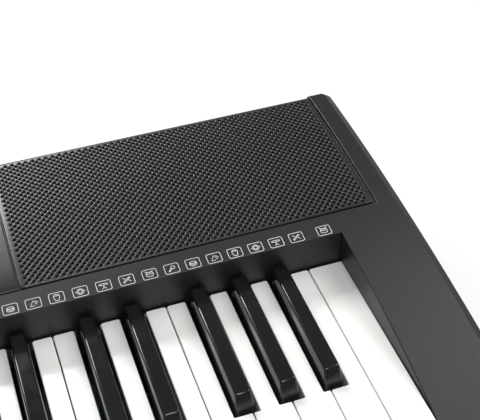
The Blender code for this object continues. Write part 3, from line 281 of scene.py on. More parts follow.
in_deck = ((np.abs(mid_x) < deck_half)[None, :]
           & ((mid_y > deck_front_y) & (mid_y < deck_rear_y))[:, None])

levels = np.append(socket_z + socket_steps[::-1], parting_z)
rear_shoulder = top_z[-1] - shoulder_drop
shares = np.concatenate([[1.0], (levels - parting_z) / (rear_shoulder - parting_z)])


def drape(edge, bottom, steps):
    """Wall that hangs from a row of points down to z = bottom, in steps of its height."""
    wall = np.repeat(edge[None], len(steps), 0)
    wall[:, :, 2] = bottom + (edge[:, 2] - bottom)[None] * steps[:, None]
    return wall


def cheek(wall):
    """Quads of a side wall behind the nose, and one face with many corners below the nose."""
    bend = len(nose_turn) - 1
    loop = np.concatenate([wall[0, :bend], wall[:, bend], wall[:0:-1, 0]])
    return [grid(wall[:, bend:]), cap(loop)]


case_patches = [grid(top, ~(in_recess | in_deck))]
for column in (0, -1):
    case_patches += cheek(drape(top[:, column], parting_z, shares))
for first, last in ((0, recess_columns[0] + 1), (recess_columns[1], top.shape[1])):
    case_patches.append(grid(drape(top[0, first:last], parting_z, shares)))

rear_wall = np.repeat(top[-1][None], len(levels) + 1, 0)
rear_wall[1:, :, 2] = levels[:, None]
rear_keep = np.ones((len(levels), top.shape[1] - 1), bool)
for socket_x, bore in ((headphone_x, 0.0043), (power_x, 0.0042)):
    held = (mid_x > socket_x - socket_cell) & (mid_x < socket_x + socket_cell)
    rear_keep[1:-1, held] = False
    first = int(np.argmax(held))
    block = rear_wall[1:-1, first:first + int(held.sum()) + 1]
    case_patches.append(tube(*pierced(block, np.array([socket_x, socket_z]), bore, [0, 2])))
case_patches.append(grid(rear_wall, rear_keep))

recess_rows = top[y_rows <= wall_y + slack]
for column, hand in zip(recess_columns, (1, -1)):
    wall = drape(recess_rows[:, column], parting_z, shares)
    base_x = -hand * (recess_half - cheek_base)
    wall[:, :, 0] += (base_x - wall[:, :, 0]) * (1 - shares[:, None])
    case_patches += cheek(wall)
strip = drape(recess_rows[-1, recess_columns[0]:recess_columns[1] + 1], recess_wall_low,
              shares[[0, -1]])
strip[1, [0, -1], 0] = [-recess_half + cheek_base, recess_half - cheek_base]
case_patches.append(grid(strip))

deck_rows = (y_rows > deck_front_y - slack) & (y_rows < deck_rear_y + slack)
deck_columns = np.abs(top[0, :, 0]) < deck_half + 0.0001
deck = top[deck_rows][:, deck_columns]
rim = border(deck)
case_patches.append(tube(rim, rim - [0, 0, deck_sink]))
floor_points = deck - [0, 0, deck_sink]
deck_x = (floor_points[0, 1:, 0] + floor_points[0, :-1, 0]) / 2
deck_y = (floor_points[1:, 0, 1] + floor_points[:-1, 0, 1]) / 2
under_panel = ((np.abs(deck_x) < panel_opening[0])[None, :]
               & ((deck_y > panel_opening[1]) & (deck_y < panel_opening[2]))[:, None])
floor_keep = ~under_panel
for hand in (-1, 1):
    centre = np.array([hand * speaker_x, deck_middle_y])
    in_x = np.abs(deck_x - centre[0]) < speaker_cell
    in_y = np.abs(deck_y - centre[1]) < speaker_cell
    floor_keep &= ~(in_x[None, :] & in_y[:, None])
    row, column = int(np.argmax(in_y)), int(np.argmax(in_x))
    block = floor_points[row:row + int(in_y.sum()) + 1, column:column + int(in_x.sum()) + 1]
    outside, circle = pierced(block, centre, speaker_opening, [0, 1])
    circle[:, 2] = arch(circle[:, 1]) - deck_sink
    case_patches.append(tube(outside, circle))
case_patches.append(grid(floor_points, floor_keep))
solid("case_shell", case_patches, case_abs, "case", ["upper_case"], wall=0.0016,
      rounding=0.0005)


# Speaker grilles: two separate plates of the same ABS in a lighter, shinier batch, perforated with
# staggered 2.2 mm holes whose rims are broken. Each is pressed into the deck, with a dark gap.

grille_inner, grille_outer, grille_front, grille_rear = 0.2226, 0.4516, 0.0271, 0.1400
grille_top, grille_low, grille_edge = -0.0003, -0.0018, 0.0005
inner_gap, front_gap = 0.0005, 0.0010
hole_step, hole_radius, hole_rim = 0.002265, 0.00108, 0.00030
lattice_x, lattice_y = 99, 49


def perforated_plate(hand):
    """Plate on the arch whose holes stand on the even points of a lattice of half steps.

    Round each hole lies a diamond whose corners are the four odd neighbours, so the diamonds
    tile the plate. Triangles fill the zigzag at the border, and rings carry it round the rim.
    """
    column = np.arange(lattice_x + 1)
    row = np.arange(lattice_y + 1)
    left = (grille_inner + inner_gap + grille_outer - lattice_x * hole_step) / 2
    low = (grille_front + front_gap + grille_rear - lattice_y * hole_step) / 2
    i, j = (part.ravel() for part in np.meshgrid(column, row, indexing="ij"))

    def place(u, v, lift):
        """Lattice coordinates and height above the arch as points, mirrored for the left hand."""
        x, y = left + hole_step * np.asarray(u), low + hole_step * np.asarray(v)
        return np.stack([hand * x, y, arch(y) + lift], -1)

    hole = ((i + j) % 2 == 0) & (i > 0) & (j > 0) & (i < lattice_x) & (j < lattice_y)
    u, v = i[hole][:, None], j[hole][:, None]
    turn = np.arange(12) * math.pi / 6
    quarter = np.arange(4) * math.pi / 2
    corner_u, corner_v = np.round(np.cos(quarter)), np.round(np.sin(quarter))
    patches = []
    wide = (hole_radius + hole_rim) / hole_step
    narrow = hole_radius / hole_step
    rings = [place(u + size * np.cos(turn), v + size * np.sin(turn), lift)
             for size, lift in ((wide, grille_top), (narrow, grille_top - hole_rim),
                                (narrow, grille_low))]
    points = np.stack(rings, 1)
    count = len(points)
    index = np.arange(count * 36).reshape(count, 3, 12)
    after = np.roll(index, -1, axis=2)
    quads = np.stack([index[:, :-1], after[:, :-1], after[:, 1:], index[:, 1:]], -1)
    patches.append((points.reshape(-1, 3), quads.reshape(-1, 4)))
    for lift, ring in ((grille_top, rings[0]), (grille_low, rings[2])):
        corners = place(u + corner_u, v + corner_v, lift)
        flat = np.concatenate([corners, ring], 1)
        start = (np.arange(count) * 16)[:, None]
        fans = [start + [part, (part + 1) % 4, 4 + (3 * part + 3) % 12, 4 + 3 * part + 2,
                         4 + 3 * part + 1, 4 + 3 * part] for part in range(4)]
        patches.append((flat.reshape(-1, 3), np.concatenate(fans)))
        for edge_u, edge_v, in_u, in_v in ((i, 0 * i, 0, 1), (i, 0 * i + lattice_y, 0, -1),
                                           (0 * j, j, 1, 0), (0 * j + lattice_x, j, -1, 0)):
            even = np.unique(np.stack([edge_u, edge_v], 1), axis=0)
            even = even[even.sum(1) % 2 == 0]
            along = np.array([abs(in_v), abs(in_u)])
            before, beyond = even - along, even + along
            inside = even + [in_u, in_v]
            limit = np.array([lattice_x, lattice_y])
            whole = (before >= 0).all(1) & (beyond <= limit).all(1)
            spots = np.stack([before[whole], beyond[whole], inside[whole]], 1)
            patches.append((place(spots[..., 0], spots[..., 1], lift).reshape(-1, 3),
                            np.arange(3 * len(spots)).reshape(-1, 3)))
        for cu, cv, du, dv in ((0, 0, 1, 1), (lattice_x, lattice_y, -1, -1)):
            patches.append(cap(place([cu, cu + du, cu], [cv, cv, cv + dv], lift)))

    odd_u, odd_v = column[column % 2 == 1], row[row % 2 == 1]
    even_u = column[(column % 2 == 0) & (column > 0)]
    loop_u = np.concatenate([[0], odd_u, 0 * odd_v[:-1] + lattice_x, [lattice_x],
                             even_u[::-1], [0], 0 * odd_v[::-1]])
    loop_v = np.concatenate([[0], 0 * odd_u, (odd_v + 1)[:-1], [lattice_y], 0 * even_u + lattice_y,
                             [lattice_y], odd_v[::-1]])
    edge_x = np.where(loop_u == 0, grille_inner + inner_gap, left + hole_step * loop_u)
    edge_y = np.where(loop_v == 0, grille_front + front_gap,
                      np.where(loop_v == lattice_y, grille_rear, low + hole_step * loop_v))
    # The gap to the end block is 2 mm at the front and closes to 0.7 mm at the rear.
    slanted = deck_half - np.interp(edge_y, [grille_front, grille_rear], [0.0020, 0.0007])
    edge_x = np.where(loop_u == lattice_x, slanted, edge_x)
    pull_x = np.where(loop_u == 0, 1.0, np.where(loop_u == lattice_x, -1.0, 0.0))
    pull_y = np.where(loop_v == 0, 1.0, np.where(loop_v == lattice_y, -1.0, 0.0))

    def rim_ring(inset, lift):
        """Border loop moved inwards by inset, at a height above the arch."""
        x, y = edge_x + pull_x * inset, edge_y + pull_y * inset
        return np.stack([hand * x, y, arch(y) + lift], -1)

    rim = [place(loop_u, loop_v, grille_top), rim_ring(grille_edge, grille_top),
           rim_ring(0.3 * grille_edge, grille_top - 0.3 * grille_edge),
           rim_ring(0.0, grille_top - grille_edge), rim_ring(0.0, grille_low),
           place(loop_u, loop_v, grille_low)]
    patches.append(tube(*rim))
    return patches


# The grille's ABS is smoother than the case: it mirrors the light softly towards the middle of
# the instrument, where the case beside it stays dark.
grille_abs = moulded("satin_abs_grey", "#252527", "#212123", 0.0007, 0.000015, (0.24, 0.36))
for hand, label in ((-1, "left"), (1, "right")):
    solid("grille_plate_" + label, perforated_plate(hand), grille_abs, "case",
          ["speaker_grille_" + label], crease=50)


# Marking print: white pad-printed boxes on the strip behind the keys, one over each key's tail,
# each with a small percussion pictogram. Ink lies a few hundredths of a millimetre proud.

white_pitch, keys_left = 0.0235, -0.4230
line_width, ink_height = 0.00036, 0.00005


def arc(middle_x, middle_y, radius_x, radius_y, first=0, last=360):
    """Open stroke along an ellipse between two angles in degrees, in millimetres."""
    turn = np.radians(np.linspace(first, last, max(5, int(abs(last - first) / 22))))
    return np.stack([middle_x + radius_x * np.cos(turn), middle_y + radius_y * np.sin(turn)], 1)


def ribbons(strokes, place_x, place_y, height, width=line_width, size=0.001):
    """Flat bands of even width along strokes, laid on a surface and closed into thin bars.

    Each band's edge points lie half the width to either side, along the mean of the normals of
    the two segments that meet there. height gives the surface's z at points x, y.
    """
    patches = []
    for stroke in strokes:
        line = np.asarray(stroke, float) * size
        step = np.diff(line, axis=0)
        step /= np.linalg.norm(step, axis=1, keepdims=True)
        normal = np.stack([-step[:, 1], step[:, 0]], 1)
        if np.allclose(line[0], line[-1]):
            mean = (normal + np.roll(normal, 1, 0)) / 2
            mean = np.concatenate([mean, mean[:1]])
        else:
            mean = (normal[[0, *range(len(normal))]] + normal[[*range(len(normal)), -1]]) / 2
        mean /= np.maximum((mean ** 2).sum(1, keepdims=True), 0.35)
        bands = [line - mean * width / 2, line + mean * width / 2]
        flat = np.stack(bands + bands[::-1], 1) + [place_x, place_y]
        lift = np.array([0.0, 0.0, ink_height, ink_height]) - 0.00002
        points = np.concatenate([flat, (height(flat[..., 0], flat[..., 1]) + lift)[..., None]], 2)
        patches.append(grid(points, closed=True))
        if not np.allclose(line[0], line[-1]):
            last = 4 * (len(line) - 1)
            patches.append((points.reshape(-1, 3), np.array([[0], [last]]) + np.arange(4)))
    return patches


drum = [arc(0, 0.7, 2.1, 0.75), [(-2.1, 0.7), (-2.1, -1.1)], [(2.1, 0.7), (2.1, -1.1)],
        arc(0, -1.1, 2.1, 0.75, 180, 360)]
pictograms = (
    # maraca
    [arc(0.9, 0.8, 1.25, 1.15), [(0.1, -0.1), (-1.9, -2.1)], [(-0.3, 0.2), (-2.3, -1.8)]],
    # snare drum
    drum + [[(-2.1, -0.9), (-1.0, 0.0), (0.0, -1.8), (1.0, 0.0), (2.1, -0.9)]],
    # triangle and beater
    [[(0.6, -1.8), (-2.0, -1.8), (0.0, 1.9), (1.9, -1.3)], [(1.2, 1.6), (2.8, -0.2)]],
    # conga
    [arc(0, 1.7, 1.5, 0.5),
     [(-1.5, 1.7), (-1.8, 0.5), (-1.0, -2.2), (1.0, -2.2), (1.8, 0.5), (1.5, 1.7)]],
    # tambourine
    [arc(0, 0, 2.0, 2.0), arc(0, 0, 1.2, 1.2), [(-2.7, 0.4), (-2.7, -0.4)],
     [(2.7, 0.4), (2.7, -0.4)]],
    # cymbal on its stand
    [arc(0, 1.0, 2.7, 0.6), [(0, 0.4), (0, -1.2)], [(-1.3, -2.2), (0, -1.2), (1.3, -2.2)]],
    # claves
    [[(-2.4, -1.3), (1.8, 1.9), (2.3, 1.3), (-1.9, -1.9), (-2.4, -1.3)], [(0.9, -0.2), (2.4, -1.6)],
     [(-2.2, 1.8), (-0.7, 0.8)]],
    # drum with sticks
    drum + [[(-2.6, 2.4), (0.3, 0.9)], [(2.6, 2.4), (-0.3, 0.9)]])
box_corner, box_centre_x, box_centre_y = 1.1, 3.35, 2.45
sides = ((1, 1, 0), (-1, 1, 90), (-1, -1, 180), (1, -1, 270))
box = np.concatenate([arc(sx * box_centre_x, sy * box_centre_y, box_corner, box_corner, turn,
                          turn + 90) for sx, sy, turn in sides])
box = np.concatenate([box, box[:1]])
tail_centres = white_pitch * np.concatenate([np.arange(0.5, 5) * 3 / 5,
                                             3 + np.arange(0.5, 7) * 4 / 7])
centres = np.concatenate([*(keys_left + octave * 7 * white_pitch + tail_centres
                            for octave in range(5)), [-keys_left - white_pitch / 2]])
print_patches = []
for count, centre in enumerate(centres):
    print_patches += ribbons([box, *pictograms[(count + 3) % 8]], centre, 0.0149,
                             lambda x, y: arch(y))
# Pad-printing ink, slightly grey where the grain of the case shows through it.
print_ink = moulded("pad_print_ink_white", "#d8d8d8", "#c4c4c4", 0.0005, 0.00001, (0.45, 0.60))
solid("marking_print", print_patches, print_ink, "case")


# White keys: hollow mouldings of gloss polystyrene with a front lip, rounded edges and a narrow
# waist between the blacks. Lower octaves hang on moulded comb bars, the top octave singly.

key_gap, tail_gap = 0.0008, 0.0022
white_top, white_skirt_z, key_wall_thickness, key_ceiling_z = 0.0600, 0.0400, 0.0013, 0.0575
key_front_y, key_rear_y = -0.1328, 0.0092
black_front_y = key_rear_y - 0.0900
waist_y = black_front_y - 0.0020
black_heights, black_halves = (0.0391, 0.0600, 0.0700), (0.00505, 0.00585, 0.00465)
black_set_backs, skirt_ramp_y = (0.0, 0.0006, 0.0055), (-0.0188, -0.0048)
hinge_y, hinge_z, tail_end_y, tail_top_z, tail_low_z = 0.0343, 0.0480, 0.0388, 0.0550, 0.0444
semitones = ("c", "c_sharp", "d", "d_sharp", "e", "f", "f_sharp", "g", "g_sharp", "a", "a_sharp",
             "b")
white_place = {"c": 0, "d": 1, "e": 2, "f": 3, "g": 4, "a": 5, "b": 6}


def tail_span(note):
    """Slot of a note at the wall: C to E share three whites among five, F to B four among seven."""
    step = semitones.index(note)
    if step < 5:
        return step * 3 * white_pitch / 5, (step + 1) * 3 * white_pitch / 5
    return ((3 + (step - 5) * 4 / 7) * white_pitch, (3 + (step - 4) * 4 / 7) * white_pitch)


def oblong(low_u, high_u, low_v, high_v):
    """Corners of a rectangle, counter-clockwise from the lowest."""
    return [(low_u, low_v), (high_u, low_v), (high_u, high_v), (low_u, high_v)]


def outline(corners, radii, inset):
    """Right-angled outline with arcs for corners, moved inwards by inset.

    For each corner the arc's centre lies where its two edges, moved in by the radius, cross. An
    outer corner's arc shrinks by the inset and an inner corner's arc grows by it.
    """
    point = np.asarray(corners, float)
    radius = np.asarray(radii, float)[:, None]
    arriving = point - np.roll(point, 1, 0)
    arriving /= np.linalg.norm(arriving, axis=1, keepdims=True)
    leaving = np.roll(arriving, -1, 0)
    bend = np.sign(arriving[:, 0] * leaving[:, 1] - arriving[:, 1] * leaving[:, 0])[:, None]
    first = np.stack([-arriving[:, 1], arriving[:, 0]], 1)
    second = np.stack([-leaving[:, 1], leaving[:, 0]], 1)
    centre = point + bend * np.where(bend > 0, np.maximum(radius, inset), radius) * (first + second)
    reach = np.where(bend > 0, np.maximum(radius - inset, 0.0), radius + inset)
    turn = np.linspace(0.0, math.pi / 2, 5)[None, :, None]
    spoke = first[:, None] * np.cos(turn) + second[:, None] * np.sin(turn)
    return (centre[:, None] - bend[:, None] * reach[:, None] * spoke).reshape(-1, 2)


def prism(profile, left, right):
    """Closed bar along X from a (y, z) outline: two end faces and a quad for each side."""
    profile = np.asarray(profile, float)
    count = len(profile)
    points = np.concatenate([np.c_[np.full(count, x), profile] for x in (left, right)])
    turn = np.arange(count)
    quads = np.stack([turn, np.roll(turn, -1), np.roll(turn, -1) + count, turn + count], 1)
    return [(points, quads), (points, turn[None]), (points, turn[None] + count)]


def shell(rings):
    """Closed skin over a row of equal rings, with a flat face on the first and the last."""
    rings = np.stack(rings)
    count = rings.shape[1]
    points, quads = grid(rings, closed=True)
    return [(points, quads), (points, np.arange(count)[None]),
            (points, np.arange(count)[None] + (len(rings) - 1) * count)]


def key_tail(left, right):
    """Tail that passes under the case wall, with the saddle that rocks on the rail."""
    reach = 0.0026
    bevel = reach * math.tan(math.pi / 8)
    saddle = [(reach, tail_low_z), (reach, hinge_z + bevel), (bevel, hinge_z + reach),
              (-bevel, hinge_z + reach), (-reach, hinge_z + bevel), (-reach, tail_low_z)]
    root_y = key_rear_y - 0.006
    profile = [(root_y, tail_top_z), (tail_end_y, tail_top_z), (tail_end_y, tail_low_z)]
    profile += [(hinge_y + y, z) for y, z in saddle] + [(root_y, tail_low_z)]
    return prism(profile, left, right)


def level(flat, z):
    """Plan points, all at height z."""
    return np.c_[flat, np.full(len(flat), z)]


def skirt(flat, z):
    """Ring at height z; below the lip the rear underside rises to the tail."""
    ring = level(flat, z)
    if z < 0.045:
        ring[:, 2] = np.interp(flat[:, 1], skirt_ramp_y, [z, max(z, tail_low_z + 0.0003)])
    return ring


def white_key(note, start, last=False):
    """White key: rings of one outline from the skirt over the lip and the rounded edge to the top.

    The rings go on from the skirt up inside to the hollow's ceiling.
    """
    slot = start + white_place[note] * white_pitch
    left, right = slot + key_gap / 2, slot + white_pitch - key_gap / 2
    span = (0.0, white_pitch) if last else tail_span(note)
    tail_left, tail_right = (
        start + edge + turn * (tail_gap if abs(start + edge - side_x) > key_gap else key_gap) / 2
        for edge, side_x, turn in ((span[0], slot, 1), (span[1], slot + white_pitch, -1)))

    def corners(front):
        """Outline from the front left corner round to the left side, its front at that depth."""
        shape = [((left, front), 0.0008), ((right, front), 0.0008)]
        if right - tail_right > key_gap:
            shape += [((right, waist_y), 0.0007), ((tail_right, waist_y), 0.0007)]
        shape += [((tail_right, key_rear_y), 0.0015), ((tail_left, key_rear_y), 0.0015)]
        if tail_left - left > key_gap:
            shape += [((tail_left, waist_y), 0.0007), ((left, waist_y), 0.0007)]
        return zip(*shape)

    def ring(front, z, inset):
        """One ring at height z, moved inwards by inset."""
        return skirt(outline(*corners(front), inset), z)

    back = key_front_y + 0.0010
    edge = 0.0007
    rise = np.radians([0, 30, 60, 90])
    rings = [ring(back, key_ceiling_z, key_wall_thickness),
             ring(back, white_skirt_z, key_wall_thickness),
             ring(back, white_skirt_z, 0.0), ring(back, white_top - 0.0032, 0.0),
             ring(key_front_y, white_top - 0.0026, 0.0)]
    rings += [ring(key_front_y, white_top - edge * (1 - math.sin(turn)),
                   edge * (1 - math.cos(turn)))
              for turn in rise]
    return shell(rings) + key_tail(tail_left, tail_right), (tail_left, tail_right)


def black_key(note, start):
    """Black key: rings of a rounded rectangle, drafted below the ledge and leaning in above it.

    The front slopes back as the rings rise, and the last rings round the top edge.
    """
    middle = start + sum(tail_span(note)) / 2

    def ring(z, inset):
        """One ring at height z, which gives its half width and its front's set-back."""
        half = np.interp(z, black_heights, black_halves)
        front = black_front_y + np.interp(z, black_heights, black_set_backs)
        corners = oblong(middle - half, middle + half, front, key_rear_y - 0.0004)
        return skirt(outline(corners, [0.0016, 0.0016, 0.0008, 0.0008], inset), z)

    edge = 0.0011
    low, _, high = black_heights
    rings = [ring(0.0585, key_wall_thickness), ring(low, key_wall_thickness), ring(low, 0.0)]
    rings += [ring(z, 0.0) for z in (0.0600, 0.0640, high - edge)]
    rings += [ring(high - edge * (1 - math.sin(turn)), edge * (1 - math.cos(turn)))
              for turn in np.radians([20, 40, 60, 80, 90])]
    span = (middle - black_halves[1], middle + black_halves[1])
    return shell(rings) + key_tail(*span), span


# Gloss polystyrene, near-neutral white. Moulding flow leaves a faint long ripple in the shine.
key_white = moulded("gloss_polystyrene_white", "#f3f3f1", "#efefec", 0.0120, 0.00003, (0.16, 0.24))
# The same gloss in black; finger wear leaves the top slightly uneven in its shine.
key_black = moulded("gloss_polystyrene_black", "#121214", "#161618", 0.0090, 0.00003, (0.10, 0.17))
combs = (("c_e_g_b", ("c", "e", "g", "b")), ("d_f_a", ("d", "f", "a")),
         ("black", ("c_sharp", "d_sharp", "f_sharp", "g_sharp", "a_sharp")))
neck_length, bar_depth, bar_thickness, bar_spacing = 0.0055, 0.0050, 0.0020, 0.0018


def any_key(note, start, last=False):
    """A note's patches and its tail's span."""
    return white_key(note, start, last) if note in white_place else black_key(note, start)


def key_look(node):
    """Material and slot of a node of keys."""
    dark = "black" in node or "sharp" in node
    return (key_black, "key_black") if dark else (key_white, "key_white")


for octave in range(1, 5):
    start = keys_left + (octave - 1) * 7 * white_pitch
    for layer, (label, notes) in enumerate(combs):
        bar_top = tail_top_z - layer * (bar_thickness + bar_spacing)
        bar_low = bar_top - bar_thickness
        bar_front = tail_end_y + neck_length
        patches, spans = [], []
        for note in notes:
            key, span = any_key(note, start)
            spans += span
            neck = oblong(tail_end_y - 0.001, bar_front + 0.001, bar_low, bar_top)
            patches += key + prism(neck, *span)
        bar = oblong(bar_front, bar_front + bar_depth, bar_low, bar_top)
        patches += prism(bar, min(spans), max(spans))
        label = str(octave) + "_" + label
        material, slot = key_look(label)
        solid("comb_" + label, patches, material, "keys_" + label, ["keys_" + label])
singles = [("key_" + note + "_5", note, 28, False) for note in semitones]
singles.append(("key_c_6", "c", 35, True))
for node, note, whites, last in singles:
    key, _ = any_key(note, keys_left + whites * white_pitch, last)
    material, slot = key_look(node)
    solid(node + "_moulding", key, material, node, [node])


# Control panel: a raised moulding of the same ABS between the grilles, snapped into the deck. Its
# nose slopes down to the strip, and every hole in it has a small radius in its corners.

panel_half, panel_rise, panel_nose, panel_low = 0.2220, 0.0015, 0.0030, -0.0018
panel_front, panel_rear = grille_front, grille_rear
cap_half, hole_gap = (0.0065, 0.0035), 0.0003
window_y, window_half, window_ledge = 0.09755, (0.0620, 0.0190), 0.0025
knob_place = (-0.1770, window_y)
board_top, post_place = 0.0780, ((0.0525, 0.1146), (-0.1940, 0.1940))
button_row_y = 0.05355
button_names = ("rhythm", "tone", "tempo_down", "tempo_up", "record", "play", "start_stop")
button_places = [(name, -0.060 + 0.020 * count, button_row_y)
                 for count, name in enumerate(button_names)]
button_places.append(("power", -0.1770, button_row_y))
pad_x, pad_y = 0.1520, deck_middle_y
pad_keys = [(label, pad_x + 0.019 * (count % 3 - 1), pad_y + 0.015 * (1.5 - count // 3))
            for count, label in enumerate("123456789-0+")]


def rounded(x, y, half_x, half_y, radius):
    """Rounded rectangle of twenty points, counter-clockwise from its front left corner."""
    return outline(oblong(x - half_x, x + half_x, y - half_y, y + half_y), [radius] * 4, 0.0)


def lifted(flat, lift):
    """Plan points raised to a height above the arch."""
    return np.c_[flat, arch(flat[:, 1]) + lift]


holes = [(x, y, cap_half[0] + hole_gap, cap_half[1] + hole_gap, 0.0009, 0.0010)
         for _, x, y in button_places + pad_keys]
holes += [(0.0, window_y, window_half[0] + hole_gap, window_half[1] + hole_gap, 0.0020, 0.0020),
          (*knob_place, 0.0035, 0.0035, 0.0035, 0.0015)]
panel_x = hole_lines(holes, 0, -panel_half, panel_half)
panel_y = hole_lines(holes, 1, *np.linspace(panel_front + panel_nose, panel_rear, 9), panel_front)
sheet_lift = np.interp(panel_y, [panel_front, panel_front + panel_nose], [0.0, panel_rise])
sheet_z = np.repeat((arch(panel_y) + sheet_lift)[:, None], len(panel_x), 1)
sheet = np.stack([*np.meshgrid(panel_x, panel_y), sheet_z], 2)


def punched(sheet, lines_x, lines_y, openings, height):
    """Sheet on a grid with rounded holes; gives its patches and the loops of the holes.

    Each hole's block of quads makes way for four faces that join the block's rim to the hole's
    loop of twenty points. An opening is its centre, half sizes, corner radius and margin.
    """
    keep = np.ones((len(lines_y) - 1, len(lines_x) - 1), bool)
    patches, loops = [], []
    for x, y, half_x, half_y, radius, margin in openings:
        first, last = (np.abs(lines_x - x - turn * (half_x + margin)).argmin() for turn in (-1, 1))
        front, rear = (np.abs(lines_y - y - turn * (half_y + margin)).argmin() for turn in (-1, 1))
        keep[front:rear, first:last] = False
        held = sheet[front:rear + 1, first:last + 1]
        flat = rounded(x, y, half_x, half_y, radius)
        loops.append(np.c_[flat, height(flat)])
        for corner, edge in enumerate((held[0], held[:, -1], held[-1, ::-1], held[::-1, 0])):
            face = np.concatenate([edge, np.roll(loops[-1], -5 * corner - 2, axis=0)[5::-1]])
            patches.append(cap(face))
    return patches + [grid(sheet, keep)], loops


panel_patches, panel_loops = punched(sheet, panel_x, panel_y, holes,
                                     lambda flat: arch(flat[:, 1]) + panel_rise)
window_loop = panel_loops[-2]
sight = rounded(0.0, window_y, *(half + hole_gap - window_ledge for half in window_half), 0.0015)
panel_patches.append(tube(window_loop, lifted(window_loop[:, :2], 0.0), lifted(sight, 0.0)))
rim = border(sheet)
panel_patches.append(tube(rim, lifted(rim[:, :2], panel_low)))
panel_abs = moulded("moulded_abs_panel", "#1e1e20", "#1a1a1c", 0.0008, 0.00003, (0.30, 0.42))
solid("panel_plate", panel_patches, panel_abs, "case", ["control_panel"],
      wall=0.0015, rounding=0.0003)
posts = []
for post_y in post_place[0]:
    for post_x in post_place[1]:
        posts += shell([level(rounded(post_x, post_y, half, half, 0.0008), z)
                        for half, z in ((0.0024, board_top + 0.0003), (0.0030, 0.0862))])
solid("panel_posts", posts, panel_abs, "case")


# Lens and display: a smoked acrylic lens let into the panel over a liquid crystal glass in a dark
# frame. The display's lit digits are segments of the crystal and carry only numbers.

lens_rings = [lifted(rounded(0.0, window_y, *(half - inset for half in window_half), 0.0018), lift)
              for inset, lift in ((0.0, 0.0003), (0.0, 0.0012), (0.0003, panel_rise),
                                  (0.0008, panel_rise))]
lens = moulded("smoked_acrylic", "#8a8d90", "#868a8d", 0.0200, 0.00001, (0.03, 0.06),
               Transmission_Weight=0.9, IOR=1.49)
solid("lens", shell(lens_rings), lens, "case", ["display_window"])
module_half = (0.0589, 0.0159)
glass_z = 0.0898
frame_rings = [level(rounded(0.0, window_y, *(half - inset for half in module_half), 0.0010), z)
               for inset, z in ((0.0, board_top + 0.0004), (0.0, glass_z), (0.0030, glass_z),
                                (0.0034, glass_z - 0.0004), (0.0060, glass_z - 0.0004))]
crystal = moulded("liquid_crystal_glass", "#7d8a6c", "#76846a", 0.0300, 0.000005, (0.08, 0.14))
solid("display_block", shell(frame_rings), crystal, "case", ["display_module"])
segments = {"0": "abcdef", "1": "bc", "2": "abged", "4": "fgbc"}
segment_lines = {"a": ((-2, 4), (2, 4)), "b": ((2.2, 3.7), (2.2, 0.3)),
                 "c": ((2.2, -0.3), (2.2, -3.7)), "d": ((-2, -4), (2, -4)),
                 "e": ((-2.2, -0.3), (-2.2, -3.7)), "f": ((-2.2, 3.7), (-2.2, 0.3)),
                 "g": ((-1.8, 0), (1.8, 0))}
digit_patches = []
for place, digit in zip((-0.042, -0.034, -0.026, 0.012, 0.020, 0.028, 0.040), "0011204"):
    strokes = [segment_lines[segment] for segment in segments[digit]]
    digit_patches += ribbons(strokes, place, window_y, lambda x, y: 0 * x + glass_z - 0.0004,
                             width=0.0009)
ink = moulded("crystal_segment_dark", "#1c211c", "#1f241f", 0.0100, 0.000005, (0.20, 0.30))
solid("display_digits", digit_patches, ink, "case")


# Push buttons and number pad: moulded silicone-grey caps with crowned tops, each with a flange
# under the panel and a stem to its switch. White printed signs and digits lie on the tops.

cap_rise, stem_low = 0.0031, 0.0795


def cap_shell(x, y, under, bottom):
    """Rings from the stem over the flange and up the cap to its crowned top."""
    crown = arch(y) + cap_rise
    steps = ((0.0020, 0.0020, bottom), (0.0020, 0.0020, under - 0.0020),
             (0.0075, 0.0045, under - 0.0020), (0.0075, 0.0045, under), (0.0065, 0.0035, under),
             (0.0065, 0.0035, crown - 0.0009), (0.0063, 0.0033, crown - 0.0004),
             (0.0058, 0.0028, crown - 0.0001), (0.0045, 0.0018, crown))
    return shell([level(rounded(x, y, half_x, half_y, min(0.0012, half_y * 0.6)), z)
                  for half_x, half_y, z in steps])


